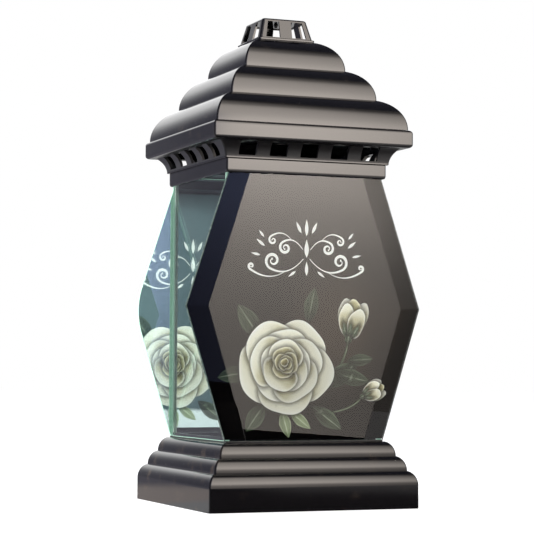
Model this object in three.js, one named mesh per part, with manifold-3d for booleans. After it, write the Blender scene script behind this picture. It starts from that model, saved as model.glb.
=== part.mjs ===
// Grave lantern: a stepped base, a box of four glass panes, a vented cornice and a lift-off roof.
// Millimetres, +Z up, front towards -Y. The origin is the centre of the base's underside.

import * as THREE from 'three';
import { mergeVertices } from 'three/addons/utils/BufferGeometryUtils.js';
import { ConvexGeometry } from 'three/addons/geometries/ConvexGeometry.js';
import Module from 'manifold-3d';

// Values that several pieces share
const glassBoxHalf = 61; // from the middle to the outer face of each pane
const fitGap = 0.3; // between pieces that lift apart or are glued in
const cutOverrun = 4; // how far a cutter runs past the face that it leaves
const mouldingCorner = 1.2; // radius of the mouldings' upright edges
const cornerSteps = 3;
const tierSteps = 8;
const edgeSteps = 3;
const roundSteps = 40;

// Stepped base
const deckMargin = 1.1; // of the top tier outside the glass
const plinthHeight = 16.4;
const baseTierCount = 3;
const baseTierStep = 6.1;
const baseTierRise = 10.43;
const baseTierReach = 7.3; // sideways radius of each shoulder, cut off by the tier above it
const baseWall = 2;
const fenceHeight = 3.4; // upstand on the deck that the glass is set against
const fenceThickness = 1.8;
const wellRoom = 3.1; // round the candle's rim
const wellWall = 1.8;
const wellFloor = 2;
const wellLift = 3; // from the ground to the well's underside
const baseRibCount = 2; // plates from corner to corner, each making two ribs round the well
const baseRibThickness = 1.8;
const baseRibLift = 2.5;

// Glass box
const glassThickness = 4;
const paneFootReach = 0.4; // of the hexagon past the glass box
const paneVertexReach = 29.9;
const paneHeadInset = 3.6;
const paneVertexHeight = 144; // of the widest point above the ground
const bevelWidth = 15;
const bevelDepth = 1.3;
const mirrorPointCut = 2.9; // taken off each side point of the mirror
const filmThickness = 0.2;
const filmInset = 1;
const beddingThickness = 1;
const beadLeg = 3.4;
const beadSteps = 5;

// Vented cornice
const collarFootHeight = 238.9; // of the collar's lower edge above the ground
const collarHeight = 10.1;
const collarWall = 1.1;
const collarEdgeRise = 2.4; // height of the collar's rounded lower edge
const shelfDepth = 8.2; // from the collar's lower edge up to the shelf over the glass
const throatRoom = 4.6; // round the candle insert where it comes out through the shelf
const throatRimThickness = 1.5;
const throatRimHeight = 6.2; // above the shelf
const corniceWall = 1.6;
const coveLip = 1.6; // how far the cove's foot stands out over the collar
const coveLipHeight = 1.2;
const coveRise = 10.7;
const coveSteps = 7;
const ventCount = 5; // on each side
const ventWidth = 13.4;
const ventMargin = 9.9; // from the cove's foot corner to the nearest vent
const ventSill = 1.2; // solid strip between the cove's lip and the vents
const fasciaOverhang = 14.8; // past the collar
const fasciaHeight = 13;
const fasciaEdge = 2.6;
const fasciaSoffit = 4.14; // flat strip between the fascia's rounded edge and the cove
const flangeReach = 6.8; // from the fascia's face to the flange's opening

// Roof
const roofTierCount = 3;
const roofTierStep = 17.35;
const roofTierRise = 22.9;
const roofTierReach = 23.7;
const roofWall = 2;
const ledgeThickness = 1.6;
const skirtDepth = 6;
const skirtThickness = 1.5;
const chimneyHalf = 17.5;

// Heat shield under the roof, staked to four pegs
const shieldGap = 1.25; // all round, inside the second tier
const shieldRise = 16.7; // above the roof's foot
const shieldThickness = 0.6;
const shieldLip = 4;
const shieldCorner = 5;
const pegInset = 8; // from the shield's edge
const pegRadius = 3;
const pegPinRadius = 1.6;
const pegHeadRadius = 3.6;
const pegHeadThickness = 1.4;
const pegSteps = 14;

// Chimney cap
const capHeight = 16.8;
const capStand = 3.7; // from the chimney hole to the cage's foot
const capFlangeReach = 1.3;
const capFlangeThickness = 1.5;
const capTaper = 3.4;
const capWall = 1.6;
const capEdge = 2; // radius of its upright and upper edges
const capPostWidth = 9.4; // middle post of each face
const capCornerPost = 4.6;
const capWindowSill = 0.8;
const capWindowHead = 2.2;
const capTabWidth = 8;
const capTabThickness = 1.6;
const capBarb = 1;
const capBarbHeight = 2.2;
const gateRadius = 2; // stub that the moulding gate leaves under the crown
const gateLength = 2.4;

// Candle insert
const cupRadius = 29;
const cupTaper = 2; // how much smaller the foot's radius is
const cupHeight = 36;
const cupWall = 0.9;
const cupLip = 1.4;
const cupLipHeight = 1.6;
const cupFootRing = 3;
const cupFootRecess = 1;
const waxDepth = 27;
const waxDish = 0.8;
const wickRadius = 1.1;
const wickStand = 6; // how far the wick stands out of the wax
const sustainerRadius = 10;
const sustainerThickness = 0.5;
const sustainerNeckRadius = 2;
const sustainerNeckHeight = 5;

// Heights and half-widths that follow from the sizes above
const plinthHalf = glassBoxHalf + deckMargin + baseTierCount * baseTierStep;
const deckTop = plinthHeight + baseTierCount * baseTierRise;
const wellRadius = cupRadius + cupLip + wellRoom;
const paneFootHalf = glassBoxHalf + paneFootReach;
const paneVertexHalf = glassBoxHalf + paneVertexReach;
const paneHeadHalf = glassBoxHalf - paneHeadInset;
const shelfFoot = collarFootHeight + shelfDepth;
const throatHalf = cupRadius + cupLip + throatRoom;
const paneFoot = deckTop + beddingThickness;
const paneHead = shelfFoot - beddingThickness;
const paneInner = glassBoxHalf - glassThickness;
const fenceOuter = paneInner - fitGap;
const fenceInner = fenceOuter - fenceThickness;
const fenceTop = deckTop + fenceHeight;
const collarHalf = glassBoxHalf + fitGap + collarWall;
const collarTop = collarFootHeight + collarHeight;
const coveFoot = collarTop + coveLipHeight;
const coveFootHalf = collarHalf + coveLip;
const fasciaHalf = collarHalf + fasciaOverhang;
const coveHeadHalf = fasciaHalf - fasciaEdge - fasciaSoffit;
const fasciaFoot = coveFoot + coveRise;
const fasciaTop = fasciaFoot + fasciaHeight;
const flangeHalf = fasciaHalf - flangeReach;
const roofFoot = fasciaTop + fitGap;
const roofFootHalf = fasciaHalf - fasciaEdge;
const roofTop = roofFoot + roofTierCount * roofTierRise;
const roofTopHalf = roofFootHalf - roofTierCount * roofTierStep;
const skirtOuter = flangeHalf - fitGap;
const shieldHalf = roofFootHalf - roofTierStep - roofWall - shieldGap;
const shieldTop = roofFoot + shieldRise;
const pegPlace = shieldHalf - pegInset;
const capFoot = roofTop + fitGap;
const capTop = capFoot + capHeight;
const capFlangeBore = chimneyHalf - fitGap - capTabThickness;
const capFootHalf = chimneyHalf + capStand;
const capFlangeHalf = capFootHalf + capFlangeReach;
const capTopHalf = capFootHalf - capTaper;
const wellFloorTop = wellLift + wellFloor;
const cupFoot = wellFloorTop + fitGap;

const wasm = await Module();
wasm.setup();

// Solids and shapes

function toSolid(geometry) {
  const bare = geometry.clone();
  bare.deleteAttribute('normal');
  bare.deleteAttribute('uv');
  const merged = mergeVertices(bare);
  const corners = merged.index.array;
  const kept = [];
  for (let i = 0; i < corners.length; i += 3) {
    const [a, b, c] = corners.slice(i, i + 3);
    if (a !== b && b !== c && c !== a) kept.push(a, b, c);
  }
  return new wasm.Manifold(new wasm.Mesh({
    numProp: 3,
    vertProperties: new Float32Array(merged.attributes.position.array),
    triVerts: new Uint32Array(kept),
  }));
}

function toGeometry(solid) {
  const mesh = solid.getMesh();
  const geometry = new THREE.BufferGeometry();
  geometry.setAttribute('position', new THREE.BufferAttribute(mesh.vertProperties, 3));
  geometry.setIndex(new THREE.BufferAttribute(mesh.triVerts, 1));
  geometry.computeVertexNormals();
  return geometry;
}

// A square with rounded corners, counter-clockwise seen from above.
function squareRing(half, z, radius) {
  const round = Math.min(radius, half);
  const signs = [[1, 1], [-1, 1], [-1, -1], [1, -1]];
  const ring = [];
  signs.forEach(([sx, sy], corner) => {
    for (let step = 0; step <= cornerSteps; step++) {
      const angle = (corner + step / cornerSteps) * Math.PI / 2;
      const x = sx * (half - round) + round * Math.cos(angle);
      const y = sy * (half - round) + round * Math.sin(angle);
      ring.push([x, y, z]);
    }
  });
  return ring;
}

// Sweeps a profile of [half-width, height] points round a square. The profile goes up the outside
// and down the inside. It closes on itself, or starts and ends on the axis.
function squareTurn(profile, radius) {
  const onAxis = profile[0][0] === 0;
  const ringSize = 4 * (cornerSteps + 1);
  const rings = profile.map(([half, z]) => (
    half === 0 ? Array.from({ length: ringSize }, () => [0, 0, z]) : squareRing(half, z, radius)
  ));
  const triangles = [];
  const last = onAxis ? rings.length - 1 : rings.length;
  for (let i = 0; i < last; i++) {
    const low = rings[i];
    const high = rings[(i + 1) % rings.length];
    const lowIsPoint = profile[i][0] === 0;
    const highIsPoint = profile[(i + 1) % rings.length][0] === 0;
    for (let j = 0; j < ringSize; j++) {
      const k = (j + 1) % ringSize;
      if (!lowIsPoint) triangles.push(low[j], low[k], high[k]);
      if (!highIsPoint) triangles.push(low[j], high[k], high[j]);
    }
  }
  const geometry = new THREE.BufferGeometry();
  geometry.setAttribute('position', new THREE.Float32BufferAttribute(triangles.flat(), 3));
  return mergeVertices(geometry);
}

// Turns a profile of [radius, height] points, which starts and ends on the axis, round +Z.
function roundTurn(profile, steps = roundSteps) {
  const points = profile.map(([radius, z]) => new THREE.Vector2(radius, z));
  return new THREE.LatheGeometry(points, steps).rotateX(Math.PI / 2);
}

// Extrudes an outline in the XZ plane towards -Y.
function uprightPlate(outline, thickness) {
  const shape = new THREE.Shape(outline.map(([x, z]) => new THREE.Vector2(x, z)));
  return new THREE.ExtrudeGeometry(shape, { depth: thickness, bevelEnabled: false })
    .rotateX(Math.PI / 2);
}

function arc(centreX, centreZ, radiusX, radiusZ, from, to, steps) {
  const clockwise = to < from;
  const curve = new THREE.EllipseCurve(centreX, centreZ, radiusX, radiusZ, from, to, clockwise);
  return curve.getPoints(steps).map((point) => [point.x, point.y]);
}

// Rounded shoulders stacked as steps, from the lowest tier's foot to the top tier's crown.
function tierOutline(tiers, shift) {
  const outline = [];
  for (let i = 0; i < tiers.count; i++) {
    const half = tiers.half - i * tiers.step - shift;
    const foot = tiers.foot + i * tiers.rise - shift;
    const end = Math.acos(1 - tiers.step / tiers.reach);
    const height = tiers.rise / Math.sin(end);
    const shoulder = arc(half - tiers.reach, foot, tiers.reach, height, 0, end, tierSteps);
    outline.push(...(i === 0 ? shoulder : shoulder.slice(1)));
  }
  return outline;
}

function blockBetween(low, high) {
  const size = high.map((value, i) => value - low[i]);
  const middle = high.map((value, i) => (value + low[i]) / 2);
  return new THREE.BoxGeometry(...size).translate(...middle);
}

const plastic = (colour, roughness) => (
  new THREE.MeshStandardMaterial({ color: colour, roughness, metalness: 0 })
);
const glass = (colour) => new THREE.MeshStandardMaterial({
  color: colour, roughness: 0.03, metalness: 0, transparent: true, opacity: 0.35,
});

const lantern = new THREE.Group();

function place(name, geometry, material, x = 0, y = 0, z = 0) {
  const mesh = new THREE.Mesh(geometry, material);
  mesh.name = name;
  mesh.position.set(x, y, z);
  lantern.add(mesh);
}

// Stepped base, hollow underneath, with a well for the candle and a fence for the glass

const baseTiers = {
  half: plinthHalf, foot: plinthHeight, count: baseTierCount,
  step: baseTierStep, rise: baseTierRise, reach: baseTierReach,
};

function baseShell() {
  const under = deckTop - baseWall;
  return toSolid(squareTurn([
    [0, under],
    ...tierOutline(baseTiers, baseWall).reverse(),
    [plinthHalf - baseWall, 0],
    [plinthHalf, 0],
    ...tierOutline(baseTiers, 0),
    [fenceOuter, deckTop],
    [fenceOuter, fenceTop],
    [fenceInner, fenceTop],
    [fenceInner, deckTop],
    [0, deckTop],
  ], mouldingCorner));
}

function baseRibs() {
  const shift = baseWall / 2;
  const core = toSolid(squareTurn([
    [0, baseRibLift],
    [plinthHalf - shift, baseRibLift],
    ...tierOutline(baseTiers, shift),
    [0, deckTop - shift],
  ], mouldingCorner));
  let plates = null;
  for (let i = 0; i < baseRibCount; i++) {
    const low = [-2 * plinthHalf, -baseRibThickness / 2, 0];
    const high = [2 * plinthHalf, baseRibThickness / 2, deckTop];
    const turn = (i + 1 / 2) * Math.PI / baseRibCount;
    const plate = toSolid(blockBetween(low, high).rotateZ(turn));
    plates = plates ? plates.add(plate) : plate;
  }
  return plates.intersect(core);
}

function base() {
  const outer = wellRadius + wellWall;
  const well = roundTurn([[0, wellLift], [outer, wellLift], [outer, deckTop], [0, deckTop]]);
  const mouth = deckTop + cutOverrun;
  const bore = roundTurn([
    [0, wellFloorTop], [wellRadius, wellFloorTop], [wellRadius, mouth], [0, mouth],
  ]);
  return baseShell().add(baseRibs()).add(toSolid(well)).subtract(toSolid(bore));
}

place('base', toGeometry(base()), plastic('#1c1c20', 0.2));

// Glass box: hexagonal front pane and mirror, two plain sides, glued at the corners

const upperSlope = (paneVertexHalf - paneHeadHalf) / (paneHead - paneVertexHeight);
const lowerSlope = (paneVertexHalf - paneFootHalf) / (paneVertexHeight - paneFoot);

// The panes' hexagon drawn in from its slanted sides, between two heights.
function hexagon(inset, foot, head) {
  const upperInset = inset * Math.hypot(1, upperSlope);
  const lowerInset = inset * Math.hypot(1, lowerSlope);
  const rise = (lowerInset - upperInset) / (upperSlope + lowerSlope);
  const vertexHalf = paneVertexHalf - upperInset - upperSlope * rise;
  const footHalf = paneVertexHalf - lowerInset - lowerSlope * (paneVertexHeight - foot);
  const headHalf = paneVertexHalf - upperInset - upperSlope * (head - paneVertexHeight);
  const right = [[footHalf, foot], [vertexHalf, paneVertexHeight + rise], [headHalf, head]];
  const left = right.map(([x, z]) => [-x, z]).reverse();
  return [...right, ...left];
}

// The slanted sides are bevelled on the face. The head and foot, which are housed, are plain.
function frontPane() {
  const at = (outline, y) => outline.map(([x, z]) => new THREE.Vector3(x, y, z));
  const outline = hexagon(0, paneFoot, paneHead);
  return new ConvexGeometry([
    ...at(hexagon(bevelWidth, paneFoot, paneHead), -glassBoxHalf),
    ...at(outline, -glassBoxHalf + bevelDepth),
    ...at(outline, -paneInner),
  ]);
}

function bead() {
  const shape = new THREE.Shape();
  shape.moveTo(0, 0);
  shape.lineTo(beadLeg, 0);
  shape.quadraticCurveTo(beadLeg / 3, beadLeg / 3, 0, beadLeg);
  const depth = paneHead - fenceTop - fitGap;
  return new THREE.ExtrudeGeometry(shape, { depth, bevelEnabled: false, curveSegments: beadSteps });
}

function beddingRing() {
  return squareTurn([
    [paneInner, 0],
    [glassBoxHalf, 0],
    [glassBoxHalf, beddingThickness],
    [paneInner, beddingThickness],
  ], mouldingCorner);
}

// The mirror is the same hexagon with its two side points cut off upright.
function mirrorOutline() {
  const half = paneVertexHalf - mirrorPointCut;
  const right = [
    [paneFootHalf, paneFoot],
    [half, paneVertexHeight - mirrorPointCut / lowerSlope],
    [half, paneVertexHeight + mirrorPointCut / upperSlope],
    [paneHeadHalf, paneHead],
  ];
  const left = right.map(([x, z]) => [-x, z]).reverse();
  return [...right, ...left];
}

const filmBack = -paneInner + filmThickness;
const sideFront = filmBack + fitGap;
const sideBack = paneInner - fitGap;
const film = hexagon(filmInset, paneFoot + filmInset, paneHead - filmInset);
const sideDepth = sideBack - sideFront;
const sidePane = () => new THREE.BoxGeometry(glassThickness, sideDepth, paneHead - paneFoot);
const sideX = glassBoxHalf - glassThickness / 2;
const sideY = (sideBack + sideFront) / 2;
const sideZ = (paneHead + paneFoot) / 2;

place('front_pane', frontPane(), glass('#cfe6dc'));
place('front_print', uprightPlate(film, filmThickness), plastic('#2c2a2a', 0.5), 0, filmBack);
place('left_pane', sidePane(), glass('#cfe6dc'), -sideX, sideY, sideZ);
place('right_pane', sidePane(), glass('#cfe6dc'), sideX, sideY, sideZ);
const mirror = new THREE.MeshStandardMaterial({ color: '#b9c6c4', roughness: 0.03, metalness: 1 });
const backPane = uprightPlate(mirrorOutline(), glassThickness);
place('back_pane', backPane, mirror, 0, glassBoxHalf);
place('foot_bedding', beddingRing(), plastic('#c9c7a8', 0.5), 0, 0, deckTop);
place('head_bedding', beddingRing(), plastic('#c9c7a8', 0.5), 0, 0, paneHead);

const beadCorners = [
  ['corner_bead_front_left', -paneInner, filmBack, 0],
  ['corner_bead_front_right', paneInner, filmBack, 1],
  ['corner_bead_back_right', paneInner, paneInner, 2],
  ['corner_bead_back_left', -paneInner, paneInner, 3],
];
beadCorners.forEach(([name, x, y, turns]) => {
  const geometry = bead().rotateZ(turns * Math.PI / 2);
  place(name, geometry, plastic('#9a9c96', 0.45), x, y, fenceTop + fitGap);
});

// Vented cornice: a collar round the glass, a cove with windows, a fascia and the roof's flange.
// The shelf closes the glass box round a square throat, whose rim keeps draught off the flame.

function corniceProfile() {
  const collarInner = collarHalf - collarWall;
  const shelfTop = shelfFoot + corniceWall;
  const coveReach = coveHeadHalf - coveFootHalf;
  const coveRadius = (coveReach ** 2 + coveRise ** 2) / (2 * coveReach);
  const coveEnd = Math.PI - Math.asin(coveRise / coveRadius);
  const coveCentre = coveFootHalf + coveRadius;
  const cove = arc(coveCentre, coveFoot, coveRadius, coveRadius, Math.PI, coveEnd, coveSteps);
  const coveInside = cove.map(([half, z]) => [half - corniceWall, z + corniceWall]).reverse();
  const collarEdge = arc(collarInner, collarFootHeight + collarEdgeRise, collarWall, collarEdgeRise,
    -Math.PI / 2, 0, edgeSteps);
  const faceHalf = fasciaHalf - fasciaEdge;
  const quarter = Math.PI / 2;
  const lowCentre = fasciaFoot + fasciaEdge;
  const highCentre = fasciaTop - fasciaEdge;
  const lowerEdge = arc(faceHalf, lowCentre, fasciaEdge, fasciaEdge, -quarter, 0, edgeSteps);
  const upperEdge = arc(faceHalf, highCentre, fasciaEdge, fasciaEdge, 0, quarter, edgeSteps);
  return [
    ...collarEdge,
    [collarHalf, collarTop],
    [coveFootHalf, collarTop],
    ...cove,
    ...lowerEdge,
    ...upperEdge,
    [flangeHalf, fasciaTop],
    [flangeHalf, fasciaTop - corniceWall],
    [fasciaHalf - corniceWall, fasciaTop - corniceWall],
    [fasciaHalf - corniceWall, fasciaFoot + corniceWall],
    ...coveInside,
    [collarInner, coveFoot],
    [collarInner, shelfTop],
    [throatHalf + throatRimThickness, shelfTop],
    [throatHalf + throatRimThickness, shelfTop + throatRimHeight],
    [throatHalf, shelfTop + throatRimHeight],
    [throatHalf, shelfFoot],
    [collarInner, shelfFoot],
  ];
}

function ventCutters() {
  const inner = coveFootHalf - corniceWall - cutOverrun;
  const outer = fasciaHalf;
  const pitch = (2 * (coveFootHalf - ventMargin) - ventWidth) / (ventCount - 1);
  let cutters = null;
  for (let side = 0; side < 4; side++) {
    for (let i = 0; i < ventCount; i++) {
      const x = (i - (ventCount - 1) / 2) * pitch;
      const low = [x - ventWidth / 2, -outer, coveFoot + ventSill];
      const high = [x + ventWidth / 2, -inner, fasciaFoot];
      const cutter = toSolid(blockBetween(low, high).rotateZ(side * Math.PI / 2));
      cutters = cutters ? cutters.add(cutter) : cutter;
    }
  }
  return cutters;
}

const cornice = toSolid(squareTurn(corniceProfile(), mouldingCorner)).subtract(ventCutters());
place('vent_cornice', toGeometry(cornice), plastic('#1c1c20', 0.2));

// Lift-off roof: three rounded tiers, a skirt that drops into the cornice and a chimney hole

const roofTiers = {
  half: roofFootHalf, foot: roofFoot, count: roofTierCount,
  step: roofTierStep, rise: roofTierRise, reach: roofTierReach,
};

function roofShell() {
  const ledgeTop = roofFoot + ledgeThickness;
  const skirtInner = skirtOuter - skirtThickness;
  const inside = tierOutline(roofTiers, roofWall).filter(([, z]) => z > ledgeTop).reverse();
  return toSolid(squareTurn([
    [skirtInner, roofFoot - skirtDepth],
    [skirtOuter, roofFoot - skirtDepth],
    [skirtOuter, roofFoot],
    ...tierOutline(roofTiers, 0),
    [chimneyHalf, roofTop],
    [chimneyHalf, roofTop - roofWall],
    ...inside,
    [roofFootHalf - roofWall, ledgeTop],
    [skirtInner, ledgeTop],
  ], mouldingCorner));
}

function eachPeg(build) {
  let pegs = null;
  for (const x of [-pegPlace, pegPlace]) {
    for (const y of [-pegPlace, pegPlace]) {
      const peg = toSolid(build().translate(x, y, 0));
      pegs = pegs ? pegs.add(peg) : peg;
    }
  }
  return pegs;
}

// A peg hangs from the shell, passes through the shield as a thin pin and ends in a staked head.
function peg() {
  const shoulder = shieldTop + fitGap;
  const headTop = shieldTop - shieldThickness - fitGap;
  const headFoot = headTop - pegHeadThickness;
  return roundTurn([
    [0, headFoot], [pegPinRadius, headFoot], [pegHeadRadius, headTop],
    [pegPinRadius, headTop], [pegPinRadius, shoulder], [pegRadius, shoulder],
    [pegRadius, roofTop], [0, roofTop],
  ], pegSteps);
}

function roof() {
  const shift = roofWall / 2;
  const pegFoot = shieldTop - shieldLip - pegHeadThickness;
  const core = toSolid(squareTurn([
    [0, pegFoot], [roofFootHalf - shift, pegFoot],
    ...tierOutline(roofTiers, shift).filter(([, z]) => z > pegFoot), [0, roofTop - shift],
  ], mouldingCorner));
  return roofShell().add(eachPeg(peg).intersect(core));
}

place('roof', toGeometry(roof()), plastic('#1c1c20', 0.18));

// Heat shield: a pressed plate with a turned-down lip

function heatShield() {
  const foot = shieldTop - shieldLip;
  const under = shieldTop - shieldThickness;
  const pan = toSolid(squareTurn([
    [0, under], [shieldHalf - shieldThickness, under], [shieldHalf - shieldThickness, foot],
    [shieldHalf, foot], [shieldHalf, shieldTop], [0, shieldTop],
  ], shieldCorner));
  const holeRadius = pegPinRadius + fitGap;
  const hole = () => roundTurn([
    [0, foot], [holeRadius, foot], [holeRadius, shieldTop + cutOverrun], [0, shieldTop + cutOverrun],
  ], pegSteps);
  return pan.subtract(eachPeg(hole));
}

place('heat_shield', toGeometry(heatShield()),
  new THREE.MeshStandardMaterial({ color: '#b4b6b8', roughness: 0.35, metalness: 1 }));

// Chimney cap: a tapered cage with two windows a side, clipped into the roof by four barbed tabs

function capShell() {
  const ceiling = capTop - capWall;
  const flangeTop = capFoot + capFlangeThickness;
  const edgeHalf = capTopHalf - capEdge;
  const edgeHeight = capTop - capEdge;
  const shoulder = arc(edgeHalf, edgeHeight, capEdge, capEdge, 0, Math.PI / 2, edgeSteps);
  return toSolid(squareTurn([
    [0, ceiling],
    [capTopHalf - capWall, ceiling],
    [capFootHalf - capWall, flangeTop],
    [capFlangeBore, flangeTop],
    [capFlangeBore, capFoot],
    [capFlangeHalf, capFoot],
    [capFlangeHalf, flangeTop],
    [capFootHalf, flangeTop],
    ...shoulder,
    [0, capTop],
  ], capEdge));
}

// Each window follows the cage's slanted corner on one side and its middle post on the other.
function capWindows() {
  const foot = capFoot + capFlangeThickness + capWindowSill;
  const head = capTop - capWindowHead;
  const halfAt = (z) => {
    const share = (z - capFoot) / capHeight;
    return capFootHalf + (capTopHalf - capFootHalf) * share - capCornerPost;
  };
  const post = capPostWidth / 2;
  const through = 2 * capFlangeHalf;
  let cutters = null;
  for (const side of [0, 1]) {
    for (const sign of [-1, 1]) {
      const outline = [[post, foot], [halfAt(foot), foot], [halfAt(head), head], [post, head]]
        .map(([x, z]) => [sign * x, z]);
      const opening = uprightPlate(outline, through).translate(0, through / 2, 0);
      const cutter = toSolid(opening.rotateZ(side * Math.PI / 2));
      cutters = cutters ? cutters.add(cutter) : cutter;
    }
  }
  return cutters;
}

// A tab drops through the chimney hole and its barb catches under the roof's crown.
function capTab(turns) {
  const barbTop = roofTop - roofWall - fitGap;
  const foot = barbTop - capBarbHeight;
  const face = capFlangeBore + capTabThickness;
  const outline = [
    [capFlangeBore, capFoot + capFlangeThickness / 2], [capFlangeBore, foot], [face, foot],
    [chimneyHalf + capBarb, barbTop], [face, barbTop], [face, capFoot + capFlangeThickness / 2],
  ];
  return toSolid(uprightPlate(outline, capTabWidth)
    .translate(0, capTabWidth / 2, 0).rotateZ(turns * Math.PI / 2));
}

function chimneyCap() {
  const gateTop = capTop - capWall / 2;
  const gateFoot = capTop - capWall - gateLength;
  const gate = roundTurn([
    [0, gateFoot], [gateRadius / 2, gateFoot], [gateRadius, gateTop], [0, gateTop],
  ], pegSteps);
  let cap = capShell().subtract(capWindows()).add(toSolid(gate));
  for (let turns = 0; turns < 4; turns++) cap = cap.add(capTab(turns));
  return cap;
}

place('chimney_cap', toGeometry(chimneyCap()), plastic('#1c1c20', 0.25));

// Candle insert: a thin moulded cup of wax with a wick held by a tin foot

const cupFootRadius = cupRadius - cupTaper;
const cupTop = cupFoot + cupHeight;
const cupFloorTop = cupFoot + cupFootRecess + cupWall;
const waxFoot = cupFloorTop + fitGap;
const waxTop = waxFoot + waxDepth;
const insideRadiusAt = (z) => (
  cupFootRadius + cupTaper * (z - cupFoot) / cupHeight - cupWall
);

function insertCup() {
  const ring = cupFootRadius - cupFootRing;
  const recess = cupFoot + cupFootRecess;
  return roundTurn([
    [0, recess],
    [ring, recess],
    [ring + cupFootRecess, cupFoot],
    [cupFootRadius, cupFoot],
    [cupRadius, cupTop - cupLipHeight],
    [cupRadius + cupLip, cupTop - cupLipHeight],
    [cupRadius + cupLip, cupTop],
    [insideRadiusAt(cupTop), cupTop],
    [insideRadiusAt(cupFloorTop), cupFloorTop],
    [0, cupFloorTop],
  ]);
}

// The wax has a pocket for the tin foot and its neck, and a bore for the wick.
function insertWax() {
  const bore = wickRadius + fitGap;
  const pocket = sustainerRadius + fitGap;
  const pocketTop = waxFoot + sustainerThickness + fitGap;
  const neck = sustainerNeckRadius + fitGap;
  const neckTop = waxFoot + sustainerNeckHeight + fitGap;
  const body = roundTurn([
    [0, waxFoot],
    [insideRadiusAt(waxFoot) - fitGap, waxFoot],
    [insideRadiusAt(waxTop) - fitGap, waxTop],
    [cupRadius / 2, waxTop - waxDish],
    [0, waxTop - waxDish],
  ]);
  const below = waxFoot - cutOverrun;
  const above = waxTop + cutOverrun;
  const core = roundTurn([
    [0, below], [pocket, below], [pocket, pocketTop], [neck, pocketTop], [neck, neckTop],
    [bore, neckTop], [bore, above], [0, above],
  ]);
  return toGeometry(toSolid(body).subtract(toSolid(core)));
}

function wickSustainer() {
  const plateTop = waxFoot + sustainerThickness;
  const neckTop = waxFoot + sustainerNeckHeight;
  const bore = wickRadius + fitGap;
  const body = roundTurn([
    [0, waxFoot], [sustainerRadius, waxFoot], [sustainerRadius, plateTop],
    [sustainerNeckRadius, plateTop], [sustainerNeckRadius, neckTop], [0, neckTop],
  ], 2 * pegSteps);
  const above = neckTop + cutOverrun;
  const hole = roundTurn([[0, plateTop], [bore, plateTop], [bore, above], [0, above]], 2 * pegSteps);
  return toGeometry(toSolid(body).subtract(toSolid(hole)));
}

function insertWick() {
  const foot = waxFoot + sustainerThickness + fitGap;
  const top = waxTop - waxDish + wickStand;
  return roundTurn([
    [0, foot], [wickRadius, foot], [wickRadius, top - wickRadius], [wickRadius / 2, top], [0, top],
  ], pegSteps);
}

place('insert_cup', insertCup(), plastic('#e8e4d8', 0.35));
place('insert_wax', insertWax(), plastic('#f0e9d6', 0.5));
place('wick_sustainer', wickSustainer(),
  new THREE.MeshStandardMaterial({ color: '#a8a9ab', roughness: 0.4, metalness: 1 }));
place('insert_wick', insertWick(), plastic('#efece2', 0.9));

export default lantern;
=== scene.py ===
# %% [markdown]
# A grave lantern, dressed for a portrait.
# The real lantern is glossy black moulded plastic, four panes of glass and a little tin and wax.
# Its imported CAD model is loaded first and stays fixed. Everything made below sits around it, in
# metres, with +Z up and the printed pane facing -Y.

import functools
import math
import random

import bmesh
import bpy
from mathutils import Matrix, Vector
from mathutils.geometry import convex_hull_2d, delaunay_2d_cdt


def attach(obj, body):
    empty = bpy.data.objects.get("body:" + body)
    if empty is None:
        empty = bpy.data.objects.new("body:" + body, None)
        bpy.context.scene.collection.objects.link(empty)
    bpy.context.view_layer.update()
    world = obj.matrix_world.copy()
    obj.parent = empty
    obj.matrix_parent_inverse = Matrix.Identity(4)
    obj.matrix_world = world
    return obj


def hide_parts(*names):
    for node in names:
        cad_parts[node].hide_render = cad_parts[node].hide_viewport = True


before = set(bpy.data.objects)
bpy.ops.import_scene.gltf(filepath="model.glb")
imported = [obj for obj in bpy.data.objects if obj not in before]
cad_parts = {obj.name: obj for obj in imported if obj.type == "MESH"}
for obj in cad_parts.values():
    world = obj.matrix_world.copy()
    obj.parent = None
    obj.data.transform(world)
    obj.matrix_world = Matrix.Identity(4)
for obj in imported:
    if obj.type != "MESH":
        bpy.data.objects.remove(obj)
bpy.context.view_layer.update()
MM = 0.001
QUARTER = math.pi / 2

# %% [markdown]
# Colours are written as sRGB hex, as a designer reads them off a swatch, and shaders want linear
# light, so one function turns the one into the other. Every node of a material is then added by one
# small function, which takes the node's settings and what feeds its sockets.

# %% Colours and nodes
def linear(hex_colour):
    """An sRGB hex colour as the linear RGBA that shaders use."""
    shares = [int(hex_colour[i:i + 2], 16) / 255 for i in (1, 3, 5)]
    return [s / 12.92 if s <= 0.04045 else ((s + 0.055) / 1.055) ** 2.4 for s in shares] + [1.0]


def add_node(tree, kind, settings=None, **sockets):
    """Adds a node. A socket, by name or _number, takes a value, a hex colour, a socket or a node."""
    node = tree.nodes.new("ShaderNode" + kind)
    for name, value in (settings or {}).items():
        setattr(node, name, value)
    for name, value in sockets.items():
        socket = node.inputs[int(name[1:]) if name[0] == "_" else name.replace("_", " ")]
        if isinstance(value, bpy.types.Node):
            value = next(output for output in value.outputs if output.enabled)
        if isinstance(value, bpy.types.NodeSocket):
            tree.links.new(value, socket)
        else:
            socket.default_value = linear(value) if isinstance(value, str) else value
    return node


def new_material(name):
    """An empty material, and add_node for its own nodes."""
    material = bpy.data.materials.new(name)
    material.use_nodes = True
    material.node_tree.nodes.clear()
    return material, functools.partial(add_node, material.node_tree)


# Settings that many nodes share. SMOOTH eases in and out and never overshoots.
SMOOTH = {"interpolation_type": "SMOOTHSTEP"}
COLOURS = {"data_type": "RGBA"}
TIMES = {"operation": "MULTIPLY"}
LARGER = {"operation": "MAXIMUM"}
print("mid grey in linear light:", [round(value, 3) for value in linear("#808080")])

# %% Colours worked out in Python
def blend(first, second, share):
    return [a + (b - a) * share for a, b in zip(first, second)]


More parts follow.
